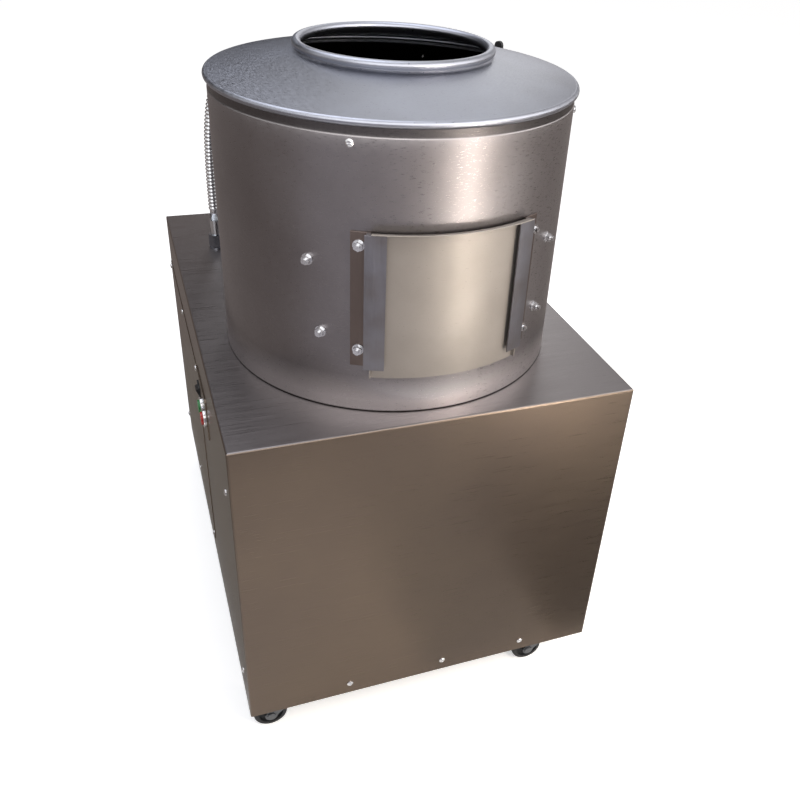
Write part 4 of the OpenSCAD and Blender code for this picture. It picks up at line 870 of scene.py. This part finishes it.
def add_piece(piece: bpy.types.Object, finish: Finish, node: str, body: str = "root") -> None:
    """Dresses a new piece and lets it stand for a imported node.

    Args:
        piece: the new piece.
        finish: its finish.
        node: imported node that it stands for.
        body: body that it rides on.
    """
    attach(piece, body)
    dress_piece(piece, finish)
    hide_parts(node)


@dataclass
class PhotoCamera:
    """The camera that took the photograph, worked out from the cabinet's and the drum's outlines.

    Attributes:
        place_mm: where it stands, with x from the cabinet's left, y from its front and z from its deck.
        yaw: turn to the right, in degrees.
        pitch: tilt down, in degrees.
        roll: turn about the line of sight, in degrees.
        focal_px: focal length in pixels of the frame.
        middle_px: pixel that the line of sight meets.
        frame_px: width and height of the frame.
        sensor: width of the sensor in millimetres.
        clip_m: nearest and farthest distance that it sees.
    """

    place_mm: tuple[float, float, float] = (-68.96, -807.01, 603.05)
    yaw: float = 22.02
    pitch: float = 32.61
    roll: float = 3.865
    focal_px: float = 854.79
    middle_px: tuple[float, float] = (439.10, 389.85)
    frame_px: float = 800.0
    sensor: float = 36.0
    clip_m: Span = (0.01, 50.0)

    def build(self) -> list[bpy.types.Object]:
        """Makes the camera and sets it as the scene's own.

        Returns:
            The camera.
        """
        yaw, pitch, roll = (math.radians(v) for v in (self.yaw, self.pitch, self.roll))
        flat = math.cos(pitch)
        ahead = Vector((math.sin(yaw) * flat, math.cos(yaw) * flat, -math.sin(pitch)))
        level = Vector((math.cos(yaw), -math.sin(yaw), 0.0))
        upright = level.cross(ahead)
        right = math.cos(roll) * level + math.sin(roll) * upright
        up = -math.sin(roll) * level + math.cos(roll) * upright
        x, y, z = self.place_mm
        data = bpy.data.cameras.new("photo_camera")
        data.sensor_fit = "HORIZONTAL"
        data.sensor_width = self.sensor
        data.lens = self.focal_px / self.frame_px * self.sensor
        data.shift_x = (self.frame_px / 2 - self.middle_px[0]) / self.frame_px
        data.shift_y = (self.middle_px[1] - self.frame_px / 2) / self.frame_px
        data.clip_start, data.clip_end = self.clip_m
        camera = bpy.data.objects.new("photo_camera", data)
        camera.matrix_world = Matrix((right, up, -ahead)).transposed().to_4x4()
        camera.location = SIZES.place(x - SIZES.cabinet_w / 2, y - SIZES.cabinet_d / 2, z)
        bpy.context.scene.collection.objects.link(camera)
        bpy.context.scene.camera = camera
        return [camera]


@dataclass
class WaterHose:
    """Corrugated steel hose from the deck fitting to the valve, on the same route as its solid.

    Attributes:
        route_mm: points of the route, with z from the deck.
        outer_mm: diameter over the ribs.
        bore_mm: diameter of the bore.
        pitch_mm: distance between ribs.
        root_share: radius in the grooves as a share of that over the ribs.
        edge: sharpness of the ribs' edges.
        sides: faces round the tube.
        steps: rings per rib.
        bore_every: rings of the skin for each ring of the bore.
        path_every: points of the middle line for each point of the stated path.
    """

    route_mm: tuple[tuple[float, float, float], ...] = (
        (-200, 215, 49.8),
        (-200, 215, 90),
        (-199, 215, 150),
        (-195, 214, 210),
        (-183, 212, 262),
        (-155, 209, 300),
        (-110, 205, 319),
        (-55, 202, 323),
        (5, 198, 319),
        (60, 190, 312),
        (105, 173, 306),
        (136, 146, 301),
        (154.1, 118.1, 300),
        (162.4, 103.7, 300),
    )
    outer_mm: float = 16.0
    bore_mm: float = 10.0
    pitch_mm: float = 6.0
    root_share: float = 0.8
    edge: float = 2.2
    sides: int = 20
    steps: int = 6
    bore_every: int = 6
    path_every: int = 10

    def centreline(self, samples: int = 60) -> np.ndarray:
        """Returns a smooth curve through the route.

        On each stretch it is the cubic whose slope at a point is half the step between its neighbours.

        Args:
            samples: points on each stretch.

        Returns:
            Rows of three coordinates in metres.
        """
        route = np.array([SIZES.place(*p) for p in self.route_mm])
        padded = np.vstack([2 * route[0] - route[1], route, 2 * route[-1] - route[-2]])
        t = np.linspace(0, 1, samples, endpoint=False)[:, None]
        p, q, r, s = padded[:-3, None], padded[1:-2, None], padded[2:-1, None], padded[3:, None]
        bend, twist = 2 * p - 5 * q + 4 * r - s, 3 * q - p - 3 * r + s
        curve = (2 * q + (r - p) * t + bend * t**2 + twist * t**3) / 2
        return np.vstack([curve.reshape(-1, 3), route[-1:]])

    def build(self) -> list[bpy.types.Object]:
        """Sweeps the corrugated profile along the route and closes it over its bore.

        The radius follows a rounded square wave along the length: mean - swing * tanh(e c) / tanh(e),
        with the edges' sharpness e and the cosine c of the way along a rib.

        Returns:
            The hose.
        """
        line = self.centreline()
        steps = np.linalg.norm(np.diff(line, axis=0), axis=1)
        runs = np.concatenate([[0], np.cumsum(steps)])
        length = runs[-1]
        ribs = int((length / MM - 2 * self.outer_mm) // self.pitch_mm)
        start = (length - ribs * self.pitch_mm * MM) / 2
        ribbed = np.linspace(start, length - start, ribs * self.steps + 1)
        along = np.concatenate([[0], ribbed, [length]])
        centres = np.stack([np.interp(along, runs, line[:, k]) for k in range(3)], axis=1)
        ahead = np.gradient(centres, along, axis=0)
        ahead /= np.linalg.norm(ahead, axis=1)[:, None]
        side = np.cross(ahead, [0.0, 1.0, 0.0])
        side /= np.linalg.norm(side, axis=1)[:, None]
        other = np.cross(ahead, side)
        peak = self.outer_mm / 2 * MM
        root = peak * self.root_share
        wave = np.cos((along - start) / (self.pitch_mm * MM) * 2 * math.pi)
        swing = -np.tanh(self.edge * wave) / math.tanh(self.edge)
        radius = (peak + root) / 2 + (peak - root) / 2 * swing
        radius[[0, -1]] = root
        turn = np.linspace(0, 2 * math.pi, self.sides, endpoint=False)
        rim = np.cos(turn)[:, None] * side[:, None] + np.sin(turn)[:, None] * other[:, None]
        skin = centres[:, None] + radius[:, None, None] * rim
        back = slice(None, None, -self.bore_every)
        bore = centres[back, None] + self.bore_mm / 2 * MM * rim[back]
        points = np.concatenate([skin, bore], axis=0)
        hose = make_piece("water_hose_tube", [Patch(points, True, True).outward()], sharp_deg=180.0)
        add_piece(hose, HOSE_STEEL, "water_hose")
        return [hose]


@dataclass
class SpunLid:
    """The lid: shallow spun cone, rolled rim, short neck with a rolled collar, and its skirt.

    Radii are from the drum's middle line and heights from the deck, in millimetres.

    Attributes:
        rim_r: radius to the middle of the rolled rim.
        rim_bead: thickness of that rim.
        neck_r: outer radius of the neck.
        fillet: radius of the bend between cone and neck.
        sheet: thickness of the sheet.
        swell: how far the cone swells over a straight line.
        collar_r: radius to the middle of the rolled collar.
        collar_bead: thickness of that collar.
        collar_z: height of its middle.
        skirt_r: outer radius of the skirt.
        skirt_z: height of its foot.
        ring: first and last angle of a bead's outline, and its steps: no point of it meets the cone's.
        slope_steps: steps up the cone.
        turn_steps: steps round the lid.
    """

    rim_r: float = 227.6
    rim_bead: float = 9.0
    neck_r: float = 120.25
    fillet: float = 5.0
    sheet: float = 1.5
    swell: float = 0.25
    collar_r: float = 119.5
    collar_bead: float = 11.0
    collar_z: float = 391.1
    skirt_r: float = 225.3
    skirt_z: float = 324.0
    ring: tuple[float, float, int] = (4.0, 349.0, 23)
    slope_steps: int = 24
    turn_steps: int = 256

    def cone(self) -> np.ndarray:
        """Draws the cone and the neck.

        The line runs up a slope that swells by swell * sin(pi * share), round the fillet and up the neck.

        Returns:
            The sheet's closed outline.
        """
        top = SIZES.rim_z + self.rim_bead / 2
        rise = top + SIZES.lid_rise
        slope = math.degrees(math.atan2(SIZES.lid_rise, self.rim_r - self.neck_r - self.fillet))
        bend = arc(self.neck_r + self.fillet, rise + self.fillet, self.fillet, 270 - slope, 180)
        share = np.linspace(0, 1, self.slope_steps, endpoint=False)[:, None]
        start = np.array([[self.rim_r, top]])
        run = start + (bend[:1] - start) * share
        run[:, 1] += self.swell * np.sin(math.pi * share[:, 0])
        neck = np.array([[self.neck_r, self.collar_z]])
        return thickened(np.vstack([run, bend, neck]), self.sheet)

    def build(self) -> list[bpy.types.Object]:
        """Turns the outlines about the drum's middle line.

        Returns:
            The lid.
        """
        skirt_line = np.array([[self.skirt_r, self.skirt_z], [self.skirt_r, SIZES.rim_z]])
        outlines = (
            self.cone(),
            arc(self.rim_r, SIZES.rim_z, self.rim_bead / 2, *self.ring),
            arc(self.collar_r, self.collar_z, self.collar_bead / 2, *self.ring),
            np.vstack([skirt_line, skirt_line[::-1] - [self.sheet, 0.0]]),
        )
        turn = np.linspace(0, 2 * math.pi, self.turn_steps, endpoint=False)
        piece = make_piece("spun_lid", [Patch(swept(o, turn), True, True).outward() for o in outlines])
        add_piece(piece, LID_STEEL, "lid")
        return [piece]


@dataclass
class DrumShell:
    """The rolled drum wall with its stepped top band and the discharge opening.

    Heights are from the deck, in millimetres.

    Attributes:
        sheet: thickness of the sheet.
        band_z: height at which the band starts.
        band_step: how far the band stands back.
        band_rise: height of the step's slope.
        opening_half: half of the opening's angle in degrees.
        opening_low: height of its sill.
        opening_high: height of its head.
        levels: heights of the rings between those that the shape needs.
        slope_points: rings of points up the step's slope.
        opening_columns: columns of points from side to side of the opening.
        other_columns: columns from there round to the opening again.
    """

    sheet: float = 1.5
    band_z: float = 341.0
    band_step: float = 0.8
    band_rise: float = 1.6
    opening_half: float = 16.5
    opening_low: float = 60.0
    opening_high: float = 224.0
    levels: tuple[float, ...] = (30.0, 115.0, 170.0, 280.0, 320.0, 347.0)
    slope_points: int = 5
    opening_columns: int = 33
    other_columns: int = 224

    def build(self) -> list[bpy.types.Object]:
        """Builds both faces on one grid of angles and heights, and closes the opening's edges.

        The radius is the drum's, less the step times s * s * (3 - 2 * s), where s runs from 0 to 1 over
        the rise above the band's foot.

        Returns:
            The wall.
        """
        start, end = DOOR_MIDDLE - self.opening_half, DOOR_MIDDLE + self.opening_half
        slot = np.linspace(start, end, self.opening_columns)
        rest = np.linspace(end, start + 360, self.other_columns)[1:-1]
        needed = [0.0, self.opening_low, self.opening_high, SIZES.drum_h]
        slope = self.band_z + np.linspace(0, self.band_rise, self.slope_points)
        z = np.sort(np.concatenate([needed, self.levels, slope]))
        share = np.clip((z - self.band_z) / self.band_rise, 0, 1)
        outer = SIZES.drum_r - self.band_step * share * share * (3 - 2 * share)
        section = np.concatenate([np.stack([outer, z], 1), np.stack([outer - self.sheet, z], 1)[::-1]])
        points = swept(section, np.radians(np.concatenate([slot, rest])))
        count, last = len(z), self.opening_columns - 1
        low, high = (int(np.argmax(z == level)) for level in (self.opening_low, self.opening_high))
        keep = np.ones(points.shape[:2], bool)
        keep[:last, low:high] = False
        keep[:last, 2 * count - 1 - high : 2 * count - 1 - low] = False
        face, back = points[:, :count], points[:, : count - 1 : -1]
        across, up = slice(last + 1), slice(low, high + 1)
        edges = (
            np.stack([face[across, low], back[across, low]], axis=1),
            np.stack([back[across, high], face[across, high]], axis=1),
            np.stack([face[0, up], back[0, up]]),
            np.stack([back[last, up], face[last, up]]),
        )
        piece = make_piece("rolled_drum_wall", [Patch(points, True, True, keep), *map(Patch, edges)])
        add_piece(piece, DRUM_STEEL, "drum_wall")
        return [piece]


@dataclass
class DischargeDoor:
    """The lift-out door: a curved sheet with its side edges folded out and a hand lip along the top.

    Radii are from the drum's middle line and heights from the deck, in millimetres.

    Attributes:
        inner_r: radius of its inner face.
        sheet: thickness of the sheet.
        half_deg: half of the angle that it covers.
        low: height of its lower edge.
        lip_z: height of the lip's upper face at the bend.
        lip_r: outer radius of the bend.
        lip_out: reach of the lip.
        lip_rise: rise of the lip towards its edge.
        tip_deg: angle up to which the lip's edge is round, each way.
        fold_out: radius to which the side edges are folded.
        edge_r: radius of the folds' rounded edges.
        run_gap: distance from the flat run's last point to the bend.
        columns: steps from side to side.
        rings: points up the flat run.
        bend_steps: steps round each bend.
    """

    inner_r: float = 230.5
    sheet: float = 1.5
    half_deg: float = 24.3
    low: float = 52.0
    lip_z: float = 238.4
    lip_r: float = 3.0
    lip_out: float = 11.5
    lip_rise: float = 1.2
    tip_deg: float = 80.0
    fold_out: float = 237.3
    edge_r: float = 0.6
    run_gap: float = 6.0
    columns: int = 64
    rings: int = 12
    bend_steps: int = 6

    def outline(self) -> np.ndarray:
        """Draws the upright run, the bend and the lip, which rises a little outwards.

        Returns:
            The sheet's closed outline.
        """
        face = self.inner_r + self.sheet
        rise = math.degrees(math.atan2(self.lip_rise, self.lip_out - self.lip_r))
        bend_z = self.lip_z - self.lip_r + self.sheet
        bend_r = self.lip_r - self.sheet
        centre, steps = (face + bend_r, bend_z - self.sheet), self.bend_steps
        inside = arc(*centre, bend_r, 180, 90 + rise, steps)
        outside = arc(*centre, self.lip_r, 90 + rise, 180, steps)
        tip_r = self.sheet / 2
        tip_x, tip_z = face + self.lip_out - tip_r, self.lip_z + self.lip_rise + tip_r
        tip = arc(tip_x, tip_z, tip_r, -self.tip_deg, self.tip_deg, steps)
        z = np.linspace(self.low, bend_z - self.run_gap, self.rings)
        up = np.stack([0 * z + face, z], axis=1)
        down = np.stack([0 * z + self.inner_r, z], axis=1)[::-1]
        return np.vstack([up, inside, tip, outside, down])

    def build(self) -> list[bpy.types.Object]:
        """Carries the outline round the drum's middle line, and adds the two folded edges.

        Returns:
            The door.
        """
        fold = math.degrees(self.sheet / SIZES.drum_r)
        start, end = DOOR_MIDDLE - self.half_deg, DOOR_MIDDLE + self.half_deg
        patches = sector(self.outline(), start + fold / 2, end - fold / 2, self.columns)
        top = self.lip_z - self.lip_r - self.sheet
        edge = rounded_box(self.inner_r, self.fold_out, self.low + self.sheet, top, self.edge_r)
        for angle in (start, end - fold):
            patches += sector(edge, angle, angle + fold, 1)
        piece = make_piece("folded_door", patches)
        add_piece(piece, DOOR_STEEL, "discharge_door", body="door")
        return [piece]


@dataclass
class DoorRails:
    """The two rails: a flange screwed to the drum, a wall, and a strip that holds the door's edge.

    Angles are from the door's middle in degrees, radii from the drum's middle line and heights from
    the deck in millimetres.

    Attributes:
        flange_r: inner radius of the flange.
        strip_r: inner radius of the strip.
        sheet: thickness of the sheet.
        wall_deg: angle at which flange and wall start.
        step_deg: angle at which the wall ends.
        strip_deg: angles at which the strip starts and ends.
        flange_deg: angle at which the flange ends.
        low: height of the lower ends.
        high: height of the upper ends.
        edge_r: radius of the flange's and the strip's edges.
        wall_edge_r: radius of the wall's edges.
        columns: steps from side to side of each of the three.
    """

    flange_r: float = 228.1
    strip_r: float = 237.6
    sheet: float = 1.5
    wall_deg: float = 24.376
    step_deg: float = 25.62
    strip_deg: Span = (20.0, 26.0)
    flange_deg: float = 30.3
    low: float = 66.0
    high: float = 238.0
    edge_r: float = 0.5
    wall_edge_r: float = 0.3
    columns: int = 8

    def parts(self, side: int) -> list[Patch]:
        """Carries the rounded outlines of flange, wall and strip round the drum.

        Args:
            side: -1 for the left rail, 1 for the right one.

        Returns:
            The rail's grids.
        """
        flange, wall, strip = self.flange_r, self.strip_r + self.sheet / 2, self.strip_r
        spans = (
            (flange, flange + self.sheet, self.wall_deg, self.flange_deg, self.edge_r),
            (flange, wall, self.wall_deg, self.step_deg, self.wall_edge_r),
            (strip, strip + self.sheet, *self.strip_deg, self.edge_r),
        )
        patches = []
        for inner, outer, start, end, r in spans:
            ends = sorted((DOOR_MIDDLE + side * start, DOOR_MIDDLE + side * end))
            patches += sector(rounded_box(inner, outer, self.low, self.high, r), *ends, self.columns)
        return patches

    def build(self) -> list[bpy.types.Object]:
        """Builds both rails.

        Returns:
            The left and the right rail.
        """
        rails = []
        for side, word in ((-1, "left"), (1, "right")):
            piece = make_piece(f"bent_rail_{word}", self.parts(side))
            add_piece(piece, RAIL_STEEL, f"door_rail_{word}")
            rails.append(piece)
        return rails


def rounded_box(x0: float, x1: float, y0: float, y1: float, r: float) -> np.ndarray:
    """Draws a rectangle with rounded corners, anticlockwise.

    Args:
        x0: its left side.
        x1: its right side.
        y0: its foot.
        y1: its head.
        r: radius of its corners.

    Returns:
        Its closed outline.
    """
    corners = ((x1 - r, y0 + r, -90), (x1 - r, y1 - r, 0), (x0 + r, y1 - r, 90), (x0 + r, y0 + r, 180))
    return np.vstack([arc(x, y, r, a, a + 90, CORNER_STEPS) for x, y, a in corners])


def sector(outline: np.ndarray, start: float, end: float, steps: int) -> list[Patch]:
    """Carries a closed outline round the drum's middle line from one angle to another.

    Args:
        outline: points of radius and height in millimetres.
        start: first angle in degrees.
        end: last angle in degrees.
        steps: steps between them.

    Returns:
        The side and its two ends, each end a strip between the halves of the outline.
    """
    points = swept(outline, np.radians(np.linspace(start, end, steps + 1)))
    half = (len(outline) + 1) // 2
    first, last = (np.stack([points[k, :half], points[k, : -half - 1 : -1]]) for k in (0, -1))
    patches = [Patch(points, False, True), Patch(first).turned(), Patch(last)]
    if sum(p.volume() for p in patches) > 0:
        return patches
    return [p.turned() for p in patches]


@dataclass
class Studio:
    """Pale floor, white surroundings, soft lamps, and boards that shape what the steel mirrors.

    Attributes:
        floor_colour: colour of the floor.
        floor_half: half of its side in metres.
        floor_lift: light added to it where it is seen, so that it is white.
        mirrored_lift: light added to it where it is mirrored or seen through.
        world_colour: colour of the plain light all round.
        world_strength: its strength.
        board_y: where the upright boards stand behind the machine, in metres.
        board_z: height of the level boards over the floor, in metres.
        columns: columns of points of a curved screen.
    """

    floor_colour: str = "#f4f3f1"
    floor_half: float = 8.0
    floor_lift: float = 0.5
    mirrored_lift: float = 0.12
    world_colour: str = "#f4f4f6"
    world_strength: float = 0.6
    board_y: float = 2.6
    board_z: float = 0.004
    columns: int = 24

    def floor(self) -> bpy.types.Object:
        """Lays the floor, which keeps the machine's shadow and is white where nothing shades it.

        Returns:
            The floor.
        """
        ends = (-self.floor_half, self.floor_half)
        grid = np.array([[[x, y, 0.0] for y in ends] for x in ends])
        ground = make_piece("studio_floor", [Patch(grid).turned()])
        made = bpy.data.materials.new("pale_floor")
        tree = emptied(made)
        matt = add_node(tree, "ShaderNodeBsdfDiffuse", {"Color": linear(self.floor_colour)})
        rays = add_node(tree, "ShaderNodeLightPath", {}).outputs
        mirrored = add_node(
            tree,
            "ShaderNodeMath",
            {"operation": "MAXIMUM", 0: rays["Is Glossy Ray"], 1: rays["Is Transmission Ray"]},
        ).outputs["Value"]
        part = {"operation": "MULTIPLY", 0: mirrored, 1: self.mirrored_lift}
        faint = add_node(tree, "ShaderNodeMath", part).outputs["Value"]
        whole = {"operation": "MULTIPLY_ADD", 0: rays["Is Camera Ray"], 1: self.floor_lift, 2: faint}
        lift = add_node(tree, "ShaderNodeMath", whole).outputs["Value"]
        glow = add_node(tree, "ShaderNodeEmission", {"Color": linear(WHITE), "Strength": lift})
        both = add_node(tree, "ShaderNodeAddShader", {0: matt.outputs[0], 1: glow.outputs[0]})
        add_node(tree, "ShaderNodeOutputMaterial", {"Surface": both.outputs[0]})
        ground.data.materials.append(made)
        return ground

    def world(self) -> None:
        """Surrounds the scene with plain light, and with white where it is seen or mirrored."""
        world = bpy.data.worlds.new("studio_world")
        bpy.context.scene.world = world
        tree = emptied(world)
        rays = add_node(tree, "ShaderNodeLightPath", {}).outputs
        seen = rays["Is Camera Ray"]
        for other in (rays["Is Glossy Ray"], rays["Is Transmission Ray"]):
            greater = {"operation": "MAXIMUM", 0: seen, 1: other}
            seen = add_node(tree, "ShaderNodeMath", greater).outputs["Value"]
        plain, white = (
            add_node(tree, "ShaderNodeBackground", {"Strength": strength, "Color": linear(colour)})
            for strength, colour in ((self.world_strength, self.world_colour), (1.0, WHITE))
        )
        mix = {0: seen, 1: plain.outputs[0], 2: white.outputs[0]}
        mixed = add_node(tree, "ShaderNodeMixShader", mix)
        add_node(tree, "ShaderNodeOutputWorld", {"Surface": mixed.outputs[0]})

    def lamp(
        self,
        name: str,
        place: Sequence[float],
        target: Sequence[float],
        size: Sequence[float],
        power: float,
        colour: str,
    ) -> bpy.types.Object:
        """Hangs one soft box.

        Args:
            name: name of the lamp.
            place: where it hangs, in metres.
            target: point that it faces.
            size: width and height of its face in metres.
            power: power in watts.
            colour: colour of its light.

        Returns:
            The lamp.
        """
        data = bpy.data.lights.new(name, "AREA")
        data.shape = "RECTANGLE"
        data.size, data.size_y = size
        data.energy = power
        data.color = linear(colour)[:3]
        lamp = bpy.data.objects.new(name, data)
        lamp.location = place
        ahead = Vector(target) - Vector(place)
        lamp.rotation_euler = ahead.to_track_quat("-Z", "Y").to_euler()
        lamp.visible_camera = False
        bpy.context.scene.collection.objects.link(lamp)
        return lamp

    def board(
        self, name: str, points: np.ndarray, colour: str, strength: float = 1.0
    ) -> bpy.types.Object:
        """Stands up a board that shows in the steel and nowhere else.

        Args:
            name: name of the board.
            points: grid of its points, in metres.
            colour: its colour.
            strength: brightness of that colour.

        Returns:
            The board.
        """
        piece = make_piece(name, [Patch(points)])
        made = bpy.data.materials.new(name + "_felt")
        tree = emptied(made)
        glow = add_node(tree, "ShaderNodeEmission", {"Strength": strength, "Color": linear(colour)})
        add_node(tree, "ShaderNodeOutputMaterial", {"Surface": glow.outputs[0]})
        piece.data.materials.append(made)
        for ray in ("camera", "diffuse", "shadow", "transmission"):
            setattr(piece, f"visible_{ray}", False)
        return piece

    def build(self) -> list[bpy.types.Object]:
        """Sets floor, world, lamps and boards: places in metres, lamps in watts.

        Returns:
            The floor, the lamps and the boards.
        """
        pieces = [self.floor()]
        self.world()
        for row in (
            ("key_box", (1.5, -1.9, 2.4), (0.0, -0.1, 0.6), (1.4, 1.4), 40, "#fff6ec"),
            ("sky_box", (-0.6, 0.4, 3.0), (0.0, 0.0, 0.7), (2.2, 2.2), 35, "#eef3ff"),
            ("strip_box", (0.433, -1.042, 0.74), (0.0, -0.139, 0.74), (0.055, 1.1), 7.0, "#fff3e6"),
        ):
            pieces.append(self.lamp(*row))
        # dark left behind the machine, grey beside it, bright right behind it and low in front
        for row in (
            ("left_board", self.screen(95, 205, 1.0, 0.0, 0.9), "#958c89"),
            ("front_left_board", self.screen(205, 278, 1.0, 0.0, 0.9), "#bcb8be"),
            ("right_board", self.screen(-30, 40, 1.1, 0.0, 0.9), "#8b8380"),
            ("front_high_board", self.screen(-150, -10, 1.05, 0.95, 1.9), "#ffffff", 3.0),
            ("front_floor_board", self.ground(0.02, 0.24, -1.0, -0.45), "#ece9e6"),
            ("right_floor_board", self.ground(0.25, 1.0, -1.0, -0.45), "#9c9792"),
            ("left_floor_board", self.ground(-1.2, -0.29, -0.3, 1.2), "#958f89"),
            ("back_left_board", self.wall(-4.5, 0.45, 0.2, 2.95), "#1f1b19"),
            ("high_left_board", self.wall(-4.5, -0.25, 2.95, 3.8), "#1f1b19"),
            ("back_right_board", self.wall(0.5, 2.1, 1.45, 2.95), "#ffffff", 1.7),
            ("back_low_board", self.wall(0.5, 2.1, 0.2, 1.4), "#b9b6b9"),
            ("far_right_board", self.wall(2.15, 4.5, 0.2, 2.95), "#a8a5a8"),
        ):
            pieces.append(self.board(*row))
        return pieces

    def ground(self, left: float, right: float, front: float, back: float) -> np.ndarray:
        """Returns a level plane just over the floor, between places and depths in metres."""
        return np.array([[[x, y, self.board_z] for y in (front, back)] for x in (left, right)])

    def wall(self, left: float, right: float, low: float, high: float) -> np.ndarray:
        """Returns an upright plane behind the machine, between places and heights in metres."""
        return np.array([[[x, self.board_y, z] for z in (low, high)] for x in (left, right)])

    def screen(self, start: float, end: float, reach: float, low: float, high: float) -> np.ndarray:
        """Bends a screen about the drum: (reach cos a, reach sin a, height) from its middle line.

        Args:
            start: first angle from +X in degrees.
            end: last angle in degrees.
            reach: distance from the drum's middle line in metres.
            low: height of its foot in metres.
            high: height of its head in metres.

        Returns:
            Its grid of points.
        """
        a, z = np.meshgrid(np.radians(np.linspace(start, end, self.columns)), [low, high], indexing="ij")
        x, y = DRUM_CENTRE
        return np.stack([x + reach * np.cos(a), y + reach * np.sin(a), z], axis=2)


@dataclass
class PackedModel:
    """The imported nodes, each given its finish.

    Attributes:
        nodes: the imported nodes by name.
    """

    nodes: dict[str, bpy.types.Object]

    def build(self) -> list[bpy.types.Object]:
        """Gives each node its material.

        Returns:
            The dressed nodes.
        """
        dressed = []
        for finish, slot, names in NODE_FINISHES:
            for name in names:
                dress_piece(self.nodes[name], finish)
                dressed.append(self.nodes[name])
        return dressed


def main() -> None:
    """Builds the dressed machine in order, from the camera and the hose on, and reports each piece."""
    logging.basicConfig(level=logging.INFO)
    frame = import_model()
    for part in (
        PhotoCamera(),
        WaterHose(),
        PackedModel(frame["nodes"]),
        DrumShell(),
        SpunLid(),
        DischargeDoor(),
        DoorRails(),
        Studio(),
    ):
        for piece in part.build():
            LOG.info("%s: %s", type(part).__name__, piece.name)
    bpy.context.scene.view_settings.view_transform = "Standard"


if __name__ == "__main__":
    main()
